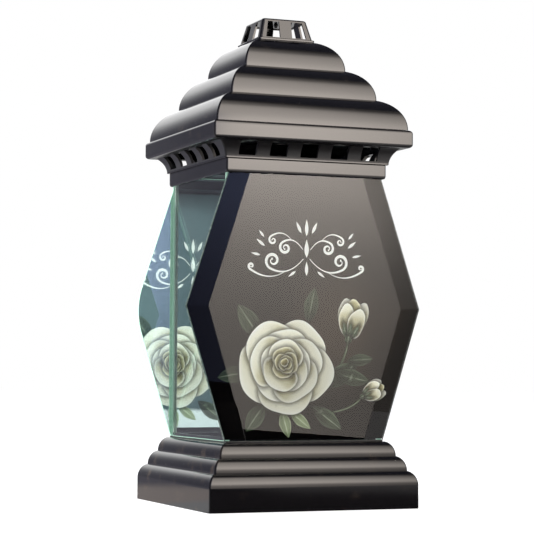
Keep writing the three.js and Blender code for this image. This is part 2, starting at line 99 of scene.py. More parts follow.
def ease(low, high, value):
    share = min(1.0, max(0.0, (value - low) / (high - low)))
    return share * share * (3 - 2 * share)


def along(stops, place):
    """The linear colour at a place on a list of (place, hex colour) stops."""
    for (low, first), (high, second) in zip(stops, stops[1:]):
        if place <= high:
            return blend(linear(first), linear(second), ease(low, high, place))
    return linear(stops[-1][1])


print("a quarter of the way up a smooth step:", ease(0, 1, 0.25))

# %% [markdown]
# The camera stands a little to the left of the lantern, 1.4 m away and only 100 mm above the
# table, with a long lens, so the verticals hardly converge. Its place comes from fitting a camera
# to the lantern's corners.

# %% Camera
CAMERA_PLACE = Vector((-532.55, -1307.68, 99.66)) * MM
CAMERA_FORWARD = Vector((0.37288, 0.92631, 0.05396))
CAMERA_UP = Vector((-0.02513, -0.04805, 0.99853))
LENS = 127.4
SENSOR = 36.0
NEAREST = 0.05


def place_camera():
    data = bpy.data.cameras.new("camera")
    data.lens = LENS
    data.sensor_width = SENSOR
    data.clip_start = NEAREST
    camera = bpy.data.objects.new("camera", data)
    back = -CAMERA_FORWARD.normalized()
    right = CAMERA_UP.cross(back).normalized()
    turn = Matrix((right, back.cross(right), back)).transposed().to_4x4()
    camera.matrix_world = Matrix.Translation(CAMERA_PLACE) @ turn
    bpy.context.scene.collection.objects.link(camera)
    bpy.context.scene.camera = camera


place_camera()
bpy.context.scene.view_settings.view_transform = "Standard"
print("camera to the lantern's axis:", round(CAMERA_PLACE.xy.length, 3), "m")

# %% [markdown]
# Glossy black shows little of its own colour. What the eye reads as its shape is the studio
# mirrored in it. So the studio is built as a product photographer would build it: a tall softbox
# at the right of the camera fills the front faces, a dimmer one beside it fills what faces the
# camera's left, and walls and table do the rest. Each softbox fades out upwards, so that the dark
# crowns of the roof have soft lower ends. The camera doesn't see the softboxes, only their mirror
# images.

# %% Cards of light
CARD_ROWS = 12


def stage_object(name, mesh, material):
    """Puts a studio item in the scene, seen in reflections but not by the camera."""
    data = bpy.data.meshes.new(name)
    mesh.to_mesh(data)
    mesh.free()
    data.materials.append(material)
    item = bpy.data.objects.new(name, data)
    bpy.context.scene.collection.objects.link(item)
    item.visible_camera = False
    item.visible_transmission = False
    item.visible_shadow = False
    return item


def card(name, corners, material):
    """A tall card between four corners: lower left, lower right, upper right, upper left."""
    low_left, low_right, high_right, high_left = [Vector(corner) * MM for corner in corners]
    mesh = bmesh.new()
    uv = mesh.loops.layers.uv.new("card")
    rows = []
    for share in [j / CARD_ROWS for j in range(CARD_ROWS + 1)]:
        ends = (low_left.lerp(high_left, share), low_right.lerp(high_right, share))
        rows.append((share, [mesh.verts.new(end) for end in ends]))
    for (low, low_row), (high, high_row) in zip(rows, rows[1:]):
        face = mesh.faces.new(low_row + high_row[::-1])
        for loop, place in zip(face.loops, ((0, low), (1, low), (1, high), (0, high))):
            loop[uv].uv = place
    return stage_object(name, mesh, material)


print("faces in each card:", CARD_ROWS)

# %% Softboxes
KEY_CORNERS = [(-60, -900, 54), (760, -900, -7), (728, -148, 2244), (-28, -148, 2256)]
KEY_UPWARDS = [
    (0, 0.27), (0.0125, 0.26), (0.0356, 0.28), (0.0669, 0.36), (0.112, 0.68), (0.125, 0.84),
    (0.156, 1), (0.194, 0.95), (0.306, 0.72), (0.481, 0.52),
    (0.6, 0.24), (0.7, 0.18), (0.85, 0.12), (1, 0.07),
]
KEY_ACROSS = [
    (0, 0.08), (0.166, 0.14), (0.232, 0.17), (0.34, 1), (0.42, 1),
    (0.54, 0.88), (0.64, 0.68), (0.756, 0.42), (0.86, 0.22), (1, 0.2),
]
KEY_STRENGTH = 7.8
SIDE_CORNERS = [(-420, -905, 54), (50, -905, 54), (30, -435, 1430), (-380, -435, 1430)]
SIDE_UPWARDS = [(0, 0.1), (0.06, 0.5), (0.3, 1), (0.6, 0.7), (1, 0.05)]
SIDE_ACROSS = [(0, 0.1), (0.2, 0.8), (0.5, 1), (0.8, 0.35), (1, 0)]
SIDE_STRENGTH = 3.0
BLUISH, WHITE_FROM = 0.2, 0.32


def softbox_nylon(name, up_profile, across_profile, strength):
    """Nylon lit from behind: dim at its foot, brightest part of the way up, bluish at its left."""
    material, add = new_material(name)
    place = add("SeparateXYZ", Vector=add("UVMap", {"uv_map": "card"})).outputs
    for profile, share in ((up_profile, place["Y"]), (across_profile, place["X"])):
        curve = add("FloatCurve", Value=share)
        points = curve.mapping.curves[0].points
        for stop in profile[1:-1]:
            points.new(*stop)
        points[0].location, points[-1].location = profile[0], profile[-1]
        curve.mapping.update()
        strength = add("Math", TIMES, _0=curve, _1=strength)
    white = add("MapRange", SMOOTH, Value=place["X"], From_Min=BLUISH, From_Max=WHITE_FROM)
    colour = add("Mix", COLOURS, _0=white, _6="#b4bff2", _7="#fff4ea")
    add("OutputMaterial", Surface=add("Emission", Color=colour, Strength=strength))
    return material


key_softbox = card(
    "key_softbox", KEY_CORNERS,
    softbox_nylon("softbox nylon", KEY_UPWARDS, KEY_ACROSS, KEY_STRENGTH),
)
key_softbox.visible_shadow = True
side_softbox = card(
    "side_softbox", SIDE_CORNERS,
    softbox_nylon("side softbox nylon", SIDE_UPWARDS, SIDE_ACROSS, SIDE_STRENGTH),
)
side_softbox.visible_diffuse = False
print("faces in the softboxes:", len(key_softbox.data.polygons), "and", len(side_softbox.data.polygons))

# %% [markdown]
# The studio's walls are one large dome. What gloss sees there is painted on it: white behind the
# lantern, fading to dark towards the left, a lit panel at the right, and dark everywhere else. Only
# rays that have met gloss or a mirror see this paint. To all others the dome is white, so the
# lantern stands before a white sweep. Bearings are in degrees from straight behind to the left.

# %% Light on the studio's walls
WALL_DARK, WALL_LEFT, WALL_WHITE = "#4a4a55", "#65646f", "#ffffff"
WALL_WHITE_STRENGTH = 1.5
WHITE_LEFT_END, WHITE_RIGHT_END = (21, 3), (-76, -66)
WHITE_TOP, WHITE_TOP_MORE, WHITE_TOP_FADE, WHITE_RISES = 22, 14, 3, (-20, -8)
LEFT_FROM, LEFT_TO, LEFT_TOP = (0, 15), (110, 80), (40, 20)
PANEL_FROM, PANEL_TO, PANEL_FOOT, PANEL_TOP = (-118, -98), (-78, -88), (2, 14), (62, 40)


def wall_light(bearing, rise):
    """What gloss sees of the walls, at a bearing and an angle above the horizon."""
    top = WHITE_TOP + WHITE_TOP_MORE * ease(*WHITE_RISES, bearing)
    white = ease(*WHITE_LEFT_END, bearing) * ease(*WHITE_RIGHT_END, bearing)
    white *= ease(top + WHITE_TOP_FADE, top - WHITE_TOP_FADE, rise)
    left = ease(*LEFT_FROM, bearing) * ease(*LEFT_TO, bearing) * ease(*LEFT_TOP, rise)
    panel = ease(*PANEL_TO, bearing) * ease(*PANEL_FROM, bearing)
    panel *= ease(*PANEL_FOOT, rise) * ease(*PANEL_TOP, rise)
    light = blend(blend(linear(WALL_DARK), linear(WALL_LEFT), left), linear(WALL_WHITE), panel)
    return blend(light, [WALL_WHITE_STRENGTH * channel for channel in linear(WALL_WHITE)], white)


print("light straight behind, 10 degrees up:", [round(channel, 2) for channel in wall_light(0, 10)])

# %% Nets that carry painted light
def painted_mesh(places, rows, light_at):
    """A net of rows of equally many places, which closes on itself along each row."""
    mesh = bmesh.new()
    paint = mesh.loops.layers.float_color.new("light")
    vertices = [mesh.verts.new(place) for place in places]
    count = len(places) // rows
    for row in range(rows - 1):
        for i in range(count):
            j = (i + 1) % count
            numbers = (row * count + i, row * count + j, (row + 1) * count + j, (row + 1) * count + i)
            face = mesh.faces.new([vertices[k] for k in numbers])
            for loop, k in zip(face.loops, numbers):
                loop[paint] = light_at(k // count, k % count)
    return mesh


def mirrored(add):
    """1 for rays that have met gloss or a mirror and haven't been scattered, and 0 for the rest."""
    path = add("LightPath").outputs
    met = add("Math", {"operation": "GREATER_THAN"}, _0=path["Glossy Depth"], _1=0.5)
    whole = add("Math", {"operation": "LESS_THAN"}, _0=path["Diffuse Depth"], _1=0.5)
    return add("Math", TIMES, _0=met, _1=whole)


def painted_light():
    material, add = new_material("painted studio light")
    paint = add("VertexColor", {"layer_name": "light"})
    colour = add("Mix", COLOURS, _0=mirrored(add), _6="#ffffff", _7=paint)
    add("OutputMaterial", Surface=add("Emission", Color=colour, Strength=1.0))
    return material


PAINTED_LIGHT = painted_light()
print("nodes in painted light:", len(PAINTED_LIGHT.node_tree.nodes))

# %% Studio walls
WALL_RADIUS = 3.2
WALL_STEP = 3
WALL_FOOT, WALL_CROWN = -12, 89.9


def studio_walls():
    bearings = range(-180, 180, WALL_STEP)
    rises = [*range(WALL_FOOT, 90, WALL_STEP), WALL_CROWN]
    places = []
    for rise in rises:
        for bearing in bearings:
            around, up = math.radians(bearing), math.radians(rise)
            level = math.cos(up)
            direction = (-math.sin(around) * level, math.cos(around) * level, math.sin(up))
            places.append(Vector(direction) * WALL_RADIUS)
    mesh = painted_mesh(places, len(rises), lambda row, i: wall_light(bearings[i], rises[row]))
    walls = stage_object("studio_walls", mesh, PAINTED_LIGHT)
    walls.visible_diffuse = False
    walls.visible_transmission = True
    return walls


print("wall faces:", len(studio_walls().data.polygons))

# %% [markdown]
# The world is white to the camera, in glass and in gloss, and a soft grey light to everything else.
# The table is white in the same way, and keeps the lantern's shadow because a part of its white is
# still ordinary paint under the lamps. Like the walls, it has its own light painted on it for gloss:
# dark near the lantern's front and bright further out, which is what the base and the panes mirror.

# %% World
AMBIENT = 0.5


def seen_directly(add):
    """1 for rays from the camera, off gloss and through glass, and 0 for the rest."""
    path = add("LightPath").outputs
    shiny = add("Math", LARGER, _0=path["Is Glossy Ray"], _1=path["Is Transmission Ray"])
    return add("Math", LARGER, _0=path["Is Camera Ray"], _1=shiny)


def make_world():
    world = bpy.data.worlds.new("white studio")
    world.use_nodes = True
    world.node_tree.nodes.clear()
    add = functools.partial(add_node, world.node_tree)
    soft = add("Background", Color="#f4f6ff", Strength=AMBIENT)
    white = add("Background", Color="#ffffff", Strength=1.0)
    add("OutputWorld", Surface=add("MixShader", Fac=seen_directly(add), _1=soft, _2=white))
    bpy.context.scene.world = world
    return world


print("nodes in the world:", len(make_world().node_tree.nodes))

# %% Table
TABLE_GLOW = 0.78
TABLE_DROP = 0.05  # so that it doesn't touch the base
TABLE_RINGS = (
    0.5, 80, 120, 160, 200, 240, 280, 320, 380, 450, 530, 620, 720, 850, 1000, 1150,
    1250, 1400, 1700, 2300, 3200, 7000,
)
TABLE_SECTORS = 90
GLOSS_OF_REST = "#d0d0d0"
GLOSS_OF_FRONT = [
    (0, "#4a4341"), (220, "#4a4341"), (420, "#e6e2e0"), (1150, "#e6e2e0"), (1250, "#141418"),
    (7000, "#141418"),
]
GLOSS_OF_FRONT_LEFT = [(0, "#4a4341"), (300, "#4a4341"), (420, "#141418"), (7000, "#141418")]
GLOSS_OF_LEFT = [(0, "#dccfc8"), (220, "#dccfc8"), (330, "#85828c"), (7000, "#a3a1aa")]
FRONT_LEFT_END, FRONT_RIGHT_END, FRONT_TURNS_BRIGHT = (-60, -35), (90, 65), (7, 15)
LEFT_MIDDLE, LEFT_FADE = 22, (60, 40)


def table_light(bearing, distance):
    """What gloss sees of the table, at a bearing like the walls' and a distance in mm."""
    rightwards = (bearing + 180) % 360
    rightwards = rightwards - 360 if rightwards > 180 else rightwards
    front = ease(*FRONT_RIGHT_END, rightwards) * ease(*FRONT_LEFT_END, rightwards)
    dark, bright = along(GLOSS_OF_FRONT_LEFT, distance), along(GLOSS_OF_FRONT, distance)
    before = blend(dark, bright, ease(*FRONT_TURNS_BRIGHT, rightwards))
    light = blend(linear(GLOSS_OF_REST), before, front)
    return blend(light, along(GLOSS_OF_LEFT, distance), ease(*LEFT_FADE, abs(bearing - LEFT_MIDDLE)))


def white_paint():
    material, add = new_material("white table")
    paint = add("BsdfDiffuse", Color="#bdbdbd")
    both = add("AddShader", _0=paint, _1=add("Emission", Color="#ffffff", Strength=TABLE_GLOW))
    seen = add("MixShader", Fac=seen_directly(add), _1=paint, _2=both)
    light = add("Emission", Color=add("VertexColor", {"layer_name": "light"}), Strength=1.0)
    add("OutputMaterial", Surface=add("MixShader", Fac=mirrored(add), _1=seen, _2=light))
    return material


def make_table():
    bearings = [360 * i / TABLE_SECTORS for i in range(TABLE_SECTORS)]
    places = []
    for distance in TABLE_RINGS:
        for bearing in bearings:
            around = math.radians(bearing)
            places.append(Vector((-math.sin(around), math.cos(around), 0)) * distance * MM)
    mesh = painted_mesh(
        places, len(TABLE_RINGS), lambda row, i: table_light(bearings[i], TABLE_RINGS[row]),
    )
    table = stage_object("table", mesh, white_paint())
    table.visible_camera = True
    table.visible_transmission = True
    table.location.z = -TABLE_DROP * MM
    return table


print("table radius:", TABLE_RINGS[-1], "mm, faces:", len(make_table().data.polygons))

# %% Fill lamp
FILL_PLACE, FILL_TARGET = Vector((-1.5, 0.75, 0.28)), Vector((0, -0.057, 0.15))
FILL_SIZE, FILL_POWER = 0.6, 100


def fill_lamp():
    """A round lamp at the left, for what is matt. Gloss and glass don't see it."""
    data = bpy.data.lights.new("fill_lamp", "AREA")
    data.shape = "DISK"
    data.size = FILL_SIZE
    data.energy = FILL_POWER
    lamp = bpy.data.objects.new("fill_lamp", data)
    lamp.location = FILL_PLACE
    lamp.rotation_euler = (FILL_TARGET - FILL_PLACE).to_track_quat("-Z", "Y").to_euler()
    lamp.visible_glossy = False
    lamp.visible_transmission = False
    bpy.context.scene.collection.objects.link(lamp)
    return lamp


print("fill lamp:", fill_lamp().data.energy, "W")

# %% [markdown]
# Injection-moulded polystyrene comes out of a polished mould, so its black skin is nearly a mirror.
# It never is quite flat: the melt shrinks as it cools and leaves a long shallow waviness. After a
# while outdoors it carries dust specks, dull finger marks and a film of dust round its foot, and
# these are what tell plastic from a computer's perfect black. Its IOR of 1.59 gives 5% of gloss
# straight on. Deep hollows of a mould aren't polished, so their skin is satin.

# %% Black polystyrene, moulded and handled
WAVE_MM, WAVE_DEPTH_MM = 14.0, 0.012
SMUDGE_MM = 16.0
GREASE, SOIL = 0.4, 0.45
DUST_SPACING_MM, DUST_SHARE, DUST_RADIUS_SHARE = 5.0, 0.16, 0.045
GLOSS_SMEAR = 0.09
DUSTY_BELOW_MM, CLEAN_ABOVE_MM = 40, 60
GLOSS_LEVEL, DUSTY_GLOSS_LEVEL = 0.5, 0.36
POLISHED, SATIN = 0.07, 0.34


def fineness(size_mm):
    """The Scale at which a pattern's cells are about size_mm across."""
    return 1 / (size_mm * MM)


def black_polystyrene(name, roughness):
    material, add = new_material(name)
    place = add("TexCoord").outputs["Object"]
    low = add(
        "MapRange", SMOOTH, Value=add("SeparateXYZ", Vector=place).outputs["Z"],
        From_Min=DUSTY_BELOW_MM * MM, From_Max=CLEAN_ABOVE_MM * MM, To_Min=1.0, To_Max=0.0,
    )
    touched = add("TexNoise", Vector=place, Scale=fineness(SMUDGE_MM), Detail=4.0, Roughness=0.6)
    smudge = add("MapRange", SMOOTH, Value=touched, From_Min=0.56, From_Max=0.78)
    cells = add("TexVoronoi", Vector=place, Scale=fineness(DUST_SPACING_MM)).outputs
    cell_number = add("SeparateXYZ", Vector=cells["Color"]).outputs["X"]
    near = add(
        "MapRange", SMOOTH, Value=cells["Distance"],
        From_Min=DUST_RADIUS_SHARE * 0.5, From_Max=DUST_RADIUS_SHARE, To_Min=1.0, To_Max=0.0,
    )
    chosen = add("Math", {"operation": "LESS_THAN"}, _0=cell_number, _1=DUST_SHARE)
    dust = add("Math", TIMES, _0=chosen, _1=near)
    greasy = add("Math", TIMES, _0=smudge, _1=GREASE)
    soil = add("Math", TIMES, _0=add("Math", TIMES, _0=smudge, _1=low), _1=SOIL)
    skin = add("Mix", COLOURS, _0=greasy, _6="#0f0f12", _7="#2a2521")
    soiled = add("Mix", COLOURS, _0=soil, _6=skin, _7="#332b23")
    waves = add("TexNoise", Vector=place, Scale=fineness(WAVE_MM), Detail=1.0, Roughness=0.5)
    plastic = add(
        "BsdfPrincipled", IOR=1.59,
        Base_Color=add("Mix", COLOURS, _0=dust, _6=soiled, _7="#a9a49c"),
        Roughness=add("MapRange", SMOOTH, Value=smudge, To_Min=roughness, To_Max=roughness + GLOSS_SMEAR),
        Specular_IOR_Level=add("MapRange", SMOOTH, Value=low, To_Min=GLOSS_LEVEL, To_Max=DUSTY_GLOSS_LEVEL),
        Normal=add("Bump", Strength=1.0, Distance=WAVE_DEPTH_MM * MM, Height=waves),
    )
    add("OutputMaterial", Surface=plastic)
    return material


BLACK = black_polystyrene("black moulded polystyrene", POLISHED)
SATIN_BLACK = black_polystyrene("satin black polystyrene", SATIN)
print("nodes in the black plastic:", len(BLACK.node_tree.nodes))

# %% [markdown]
# Every moulding of the lantern is a profile carried round a square with slightly rounded corners.
# So one function skins a stack of rings, another makes the rings from a profile, and the pieces
# differ only in their profiles. The arcs are much finer than in the CAD model, because a glossy skin
# shows every facet as a stripe.

# %% Rings, and a skin over them
CORNER_STEPS, ROUND_STEPS = 6, 96
# Steps in an arc: a shoulder or cove first, then ever smaller rounds.
FINE_ARC, EDGE_ARC, LIP_ARC, SMALL_ARC, BEND_ARC, TINY_ARC = 28, 12, 10, 8, 6, 4


def arc(centre, radii, start, end, steps=FINE_ARC):
    """Points on an ellipse from one angle to another, in radians."""
    turns = [start + (end - start) * i / steps for i in range(steps + 1)]
    return [(centre[0] + radii[0] * math.cos(t), centre[1] + radii[1] * math.sin(t)) for t in turns]


def square_ring(half, height, radius):
    """Corners of a rounded square, counter-clockwise seen from above."""
    radius = min(radius, half)
    ring = []
    for corner, (sx, sy) in enumerate(((1, 1), (-1, 1), (-1, -1), (1, -1))):
        for step in range(CORNER_STEPS + 1):
            angle = (corner + step / CORNER_STEPS) * QUARTER
            x = sx * (half - radius) + radius * math.cos(angle)
            y = sy * (half - radius) + radius * math.sin(angle)
            ring.append(Vector((x, y, height)) * MM)
    return ring


def round_ring(radius, height, steps):
    turns = [2 * math.pi * i / steps for i in range(steps)]
    return [Vector((radius * math.cos(t), radius * math.sin(t), height)) * MM for t in turns]


def lofted(rings, closed=False):
    """A skin over rings of places. A ring may be a point. Open ends are capped."""
    mesh = bmesh.new()
    rings = [[mesh.verts.new(place) for place in ring] for ring in rings]
    for low, high in zip(rings, rings[1:] + rings[:1] if closed else rings[1:]):
        count = max(len(low), len(high))
        for j in range(count):
            k = (j + 1) % count
            corners = (low[j % len(low)], low[k % len(low)], high[k % len(high)], high[j % len(high)])
            mesh.faces.new(list(dict.fromkeys(corners)))
    for ring in () if closed else (rings[0], rings[-1]):
        if len(ring) > 1:
            mesh.faces.new(ring)
    return mesh


print("places in a rounded square:", len(square_ring(2, 0, 1)))

# %% Sweeping a profile round a square
MOULDING_CORNER = 1.2


def swept(profile, ring_at):
    """A body from a profile of (half-width, height) points, up the outside, down the inside."""
    rings = [ring_at(half, height) if half else [Vector((0, 0, height)) * MM] for half, height in profile]
    return lofted(rings, closed=profile[0][0] != 0)


def square_swept(profile, radius=MOULDING_CORNER):
    return swept(profile, lambda half, height: square_ring(half, height, radius))


def round_swept(profile, steps=ROUND_STEPS):
    return swept(profile, lambda radius, height: round_ring(radius, height, steps))


def shouldered(half, foot, count, step, rise, reach, inwards=0.0):
    """Rounded shoulders stacked as steps, from the lowest foot to the top crown."""
    end = math.acos(1 - step / reach)
    points = []
    for i in range(count):
        centre = (half - i * step - inwards - reach, foot + i * rise - inwards)
        shoulder = arc(centre, (reach, rise / math.sin(end)), 0, end)
        points += shoulder if i == 0 else shoulder[1:]
    return points


print("points in two shoulders of 5 mm:", len(shouldered(20, 0, 2, 5, 5, 5)))

# %% [markdown]
# A piece is handed over by one function, which smooths what is meant to be round, keeps real edges
# sharp and weights the shading by face size, so that a broad flat stays flat up to its rounded
# corner. Holes and joins are Boolean modifiers, applied at once.

# %% Plates, cuts and joins
def plate_mesh(outline, y0, y1, turns=0.0):
    """An (x, z) outline given thickness along Y, turned about the lantern's axis by quarters."""
    mesh = lofted([[Vector((x, y, z)) * MM for x, z in outline] for y in (y0, y1)])
    for vertex in mesh.verts:
        vertex.co.rotate(Matrix.Rotation(turns * QUARTER, 3, "Z"))
    return mesh


def bare_object(name, mesh):
    data = bpy.data.meshes.new(name)
    bmesh.ops.recalc_face_normals(mesh, faces=mesh.faces)
    mesh.to_mesh(data)
    mesh.free()
    item = bpy.data.objects.new(name, data)
    bpy.context.scene.collection.objects.link(item)
    return item


def taken_out(item):
    """The mesh of an object that is no longer needed."""
    mesh = bmesh.new()
    mesh.from_mesh(item.data)
    bpy.data.objects.remove(item)
    return mesh


def combined(item, operation, *meshes):
    """Cuts meshes from an object, joins them on, or keeps what they share."""
    for mesh in meshes:
        tool = bare_object("tool", mesh)
        change = item.modifiers.new("change", "BOOLEAN")
        change.operation = operation
        change.solver = "EXACT"
        change.object = tool
        evaluated = item.evaluated_get(bpy.context.evaluated_depsgraph_get())
        result = bpy.data.meshes.new_from_object(evaluated)
        item.modifiers.clear()
        spent = item.data
        item.data = result
        bpy.data.meshes.remove(spent)
        bpy.data.objects.remove(tool)
    return item


def join_meshes(meshes):
    """Several loose bodies as one mesh."""
    joined = bmesh.new()
    for mesh in meshes:
        spare = bpy.data.meshes.new("spare")
        bmesh.ops.recalc_face_normals(mesh, faces=mesh.faces)
        mesh.to_mesh(spare)
        mesh.free()
        joined.from_mesh(spare)
        bpy.data.meshes.remove(spare)
    return joined


triangle = plate_mesh([(0, 0), (1, 0), (0, 1)], 0, 1)
print("faces of a triangular plate:", len(triangle.faces))
triangle.free()

# %% Handing over a piece
SHARP_ANGLE = math.radians(28)


def hand_over(item, material, body, nodes=(), smooth=True):
    """Gives a piece its material, shading and body, and hides the CAD nodes that it stands for."""
    item.data.materials.clear()
    item.data.materials.append(material)
    if smooth:
        item.data.polygons.foreach_set("use_smooth", [True] * len(item.data.polygons))
        item.data.set_sharp_from_angle(angle=SHARP_ANGLE)
        item.modifiers.new("flat stays flat", "WEIGHTED_NORMAL").keep_sharp = True
    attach(item, body)
    if nodes:
        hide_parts(*nodes)
    print(item.name, "faces:", len(item.data.polygons))
    return item


print("edges stay sharp from", round(math.degrees(SHARP_ANGLE)), "degrees")

# %% [markdown]
# The base is one hollow moulding: a plinth, three small rounded steps, a deck with a low fence that
# the glass is set against, and a deep round well for the candle. Underneath, thin ribs run from the
# well to the corners.

# %% Stepped base
GLASS_BOX_HALF = 61.0
GLASS_THICKNESS = 4.0
GLUE_GAP = 0.3
PLINTH_HALF, PLINTH_HEIGHT, PLINTH_SOFT = 80.4, 16.4, 0.2
BASE_STEPS = dict(half=PLINTH_HALF, foot=PLINTH_HEIGHT, count=3, step=6.1, rise=10.43, reach=7.3)
BASE_WALL = 2.0
DECK_TOP = PLINTH_HEIGHT + BASE_STEPS["count"] * BASE_STEPS["rise"]
PANE_INNER = GLASS_BOX_HALF - GLASS_THICKNESS
FENCE_OUTER, FENCE_THICKNESS, FENCE_HEIGHT, FENCE_SOFT = PANE_INNER - GLUE_GAP, 1.8, 3.4, 0.4
FENCE_TOP = DECK_TOP + FENCE_HEIGHT
WELL_RADIUS, WELL_WALL, WELL_LIFT, WELL_FLOOR, WELL_LIP = 33.5, 1.8, 3.0, 2.0, 1.0
RIB_THICKNESS, RIB_LIFT = 1.8, 2.5
OVERRUN = 1.0  # how far a cutter runs past the face that it leaves


def base_shell():
    under = DECK_TOP - BASE_WALL
    fence_inner, fence_soft_foot = FENCE_OUTER - FENCE_THICKNESS, FENCE_TOP - FENCE_SOFT
    return square_swept(
        [(0, under)] + shouldered(inwards=BASE_WALL, **BASE_STEPS)[::-1]
        + [(PLINTH_HALF - BASE_WALL, 0), (PLINTH_HALF - PLINTH_SOFT, 0), (PLINTH_HALF, PLINTH_SOFT)]
        + shouldered(**BASE_STEPS)
        + [(FENCE_OUTER, DECK_TOP), (FENCE_OUTER, fence_soft_foot), (FENCE_OUTER - FENCE_SOFT, FENCE_TOP)]
        + [(fence_inner + FENCE_SOFT, FENCE_TOP), (fence_inner, fence_soft_foot)]
        + [(fence_inner, DECK_TOP), (0, DECK_TOP)]
    )


def base_ribs():
    """Two plates from corner to corner, trimmed to the middle of the walls."""
    middle = BASE_WALL / 2
    core = square_swept(
        [(0, RIB_LIFT), (PLINTH_HALF - middle, RIB_LIFT)]
        + shouldered(inwards=middle, **BASE_STEPS) + [(0, DECK_TOP - middle)]
    )
    long, half = 2 * PLINTH_HALF, RIB_THICKNESS / 2
    outline = [(-long, 0), (long, 0), (long, DECK_TOP), (-long, DECK_TOP)]
    ribs = bare_object("ribs", plate_mesh(outline, -half, half, 0.5))
    combined(ribs, "UNION", plate_mesh(outline, -half, half, 1.5))
    return taken_out(combined(ribs, "INTERSECT", core))


def make_base():
    well_outer, well_top = WELL_RADIUS + WELL_WALL, DECK_TOP - BASE_WALL / 2
    well = round_swept([(0, WELL_LIFT), (well_outer, WELL_LIFT), (well_outer, well_top), (0, well_top)])
    floor_top, mouth = WELL_LIFT + WELL_FLOOR, WELL_RADIUS + WELL_LIP
    lip = arc((mouth, DECK_TOP - WELL_LIP), (WELL_LIP, WELL_LIP), math.pi, QUARTER, BEND_ARC)
    bore = round_swept(
        [(0, floor_top), (WELL_RADIUS, floor_top)] + lip
        + [(mouth, DECK_TOP + OVERRUN), (0, DECK_TOP + OVERRUN)]
    )
    item = combined(bare_object("stepped_base", base_shell()), "UNION", base_ribs(), well)
    return combined(item, "DIFFERENCE", bore)


hand_over(make_base(), BLACK, "lantern", ["base"])

# %% [markdown]
# The cornice is a second moulding, glued over the heads of the four panes. From below it has a
# collar round the glass, a cove with five windows on each side that let the warm air out, and a
# plain fascia with rounded edges. Inside, a wide shelf with a square rimmed throat lies over the
# glass, and a flange carries the roof. The cove and all that is inside the collar are satin.

# %% Profile of the cornice
COLLAR_FOOT, COLLAR_HALF, COLLAR_WALL, COLLAR_HEIGHT, COLLAR_EDGE = 238.9, 62.4, 1.1, 10.1, 2.4
SHELF_DEPTH, CORNICE_WALL, CORNICE_CREASE = 8.2, 1.6, 0.35
THROAT_HALF, THROAT_RIM_THICKNESS, THROAT_RIM_HEIGHT, THROAT_SOFT = 35.0, 1.5, 6.2, 0.4
COVE_LIP, COVE_LIP_HEIGHT, COVE_RISE, COVE_TILT = 1.6, 1.2, 10.7, math.radians(7)
FASCIA_HALF, FASCIA_HEIGHT, FASCIA_EDGE, FASCIA_SOFFIT, FLANGE_REACH = 77.2, 13.0, 2.6, 4.14, 6.8
COLLAR_TOP = COLLAR_FOOT + COLLAR_HEIGHT
COVE_FOOT = COLLAR_TOP + COVE_LIP_HEIGHT
COVE_FOOT_HALF = COLLAR_HALF + COVE_LIP
COVE_HEAD_HALF = FASCIA_HALF - FASCIA_EDGE - FASCIA_SOFFIT
FASCIA_FOOT = COVE_FOOT + COVE_RISE
FASCIA_TOP = FASCIA_FOOT + FASCIA_HEIGHT
FLANGE_HALF = FASCIA_HALF - FLANGE_REACH


def cove_arc():
    """A hollow quarter that leaves its foot at a tilt and meets the fascia's soffit."""
    reach = COVE_HEAD_HALF - COVE_FOOT_HALF
    chord_tilt = math.atan2(reach, COVE_RISE)
    radius = math.hypot(reach, COVE_RISE) / 2 / math.sin(chord_tilt - COVE_TILT)
    centre = (COVE_FOOT_HALF + radius * math.cos(COVE_TILT), COVE_FOOT - radius * math.sin(COVE_TILT))
    return arc(centre, (radius, radius), math.pi - COVE_TILT, math.pi - 2 * chord_tilt + COVE_TILT)


def cornice_profile():
    inner, face = COLLAR_HALF - COLLAR_WALL, FASCIA_HALF - FASCIA_EDGE
    inside, flange_foot = FASCIA_HALF - CORNICE_WALL, FASCIA_TOP - CORNICE_WALL
    shelf_foot = COLLAR_FOOT + SHELF_DEPTH
    shelf_top = shelf_foot + CORNICE_WALL
    rim_outer, rim_top = THROAT_HALF + THROAT_RIM_THICKNESS, shelf_top + THROAT_RIM_HEIGHT
    rounded = (FASCIA_EDGE, FASCIA_EDGE)
    return (
        arc((inner, COLLAR_FOOT + COLLAR_EDGE), (COLLAR_WALL, COLLAR_EDGE), -QUARTER, 0, SMALL_ARC)
        + [(COLLAR_HALF, COLLAR_TOP - CORNICE_CREASE), (COLLAR_HALF - CORNICE_CREASE, COLLAR_TOP)]
        + [(COVE_FOOT_HALF - CORNICE_CREASE, COLLAR_TOP), (COVE_FOOT_HALF, COLLAR_TOP + CORNICE_CREASE)]
        + cove_arc()
        + arc((face, FASCIA_FOOT + FASCIA_EDGE), rounded, -QUARTER, 0, EDGE_ARC)
        + arc((face, FASCIA_TOP - FASCIA_EDGE), rounded, 0, QUARTER, EDGE_ARC)
        + [(FLANGE_HALF, FASCIA_TOP), (FLANGE_HALF, flange_foot), (inside, flange_foot)]
        + [(inside, FASCIA_FOOT + CORNICE_WALL)]
        + [(half - CORNICE_WALL, height + CORNICE_WALL) for half, height in cove_arc()[::-1]]
        + [(inner, COVE_FOOT), (inner, shelf_top), (rim_outer, shelf_top)]
        + [(rim_outer, rim_top - THROAT_SOFT), (rim_outer - THROAT_SOFT, rim_top)]
        + [(THROAT_HALF + THROAT_SOFT, rim_top), (THROAT_HALF, rim_top - THROAT_SOFT)]
        + [(THROAT_HALF, shelf_foot), (inner, shelf_foot)]
    )


print("points in the cornice's profile:", len(cornice_profile()))

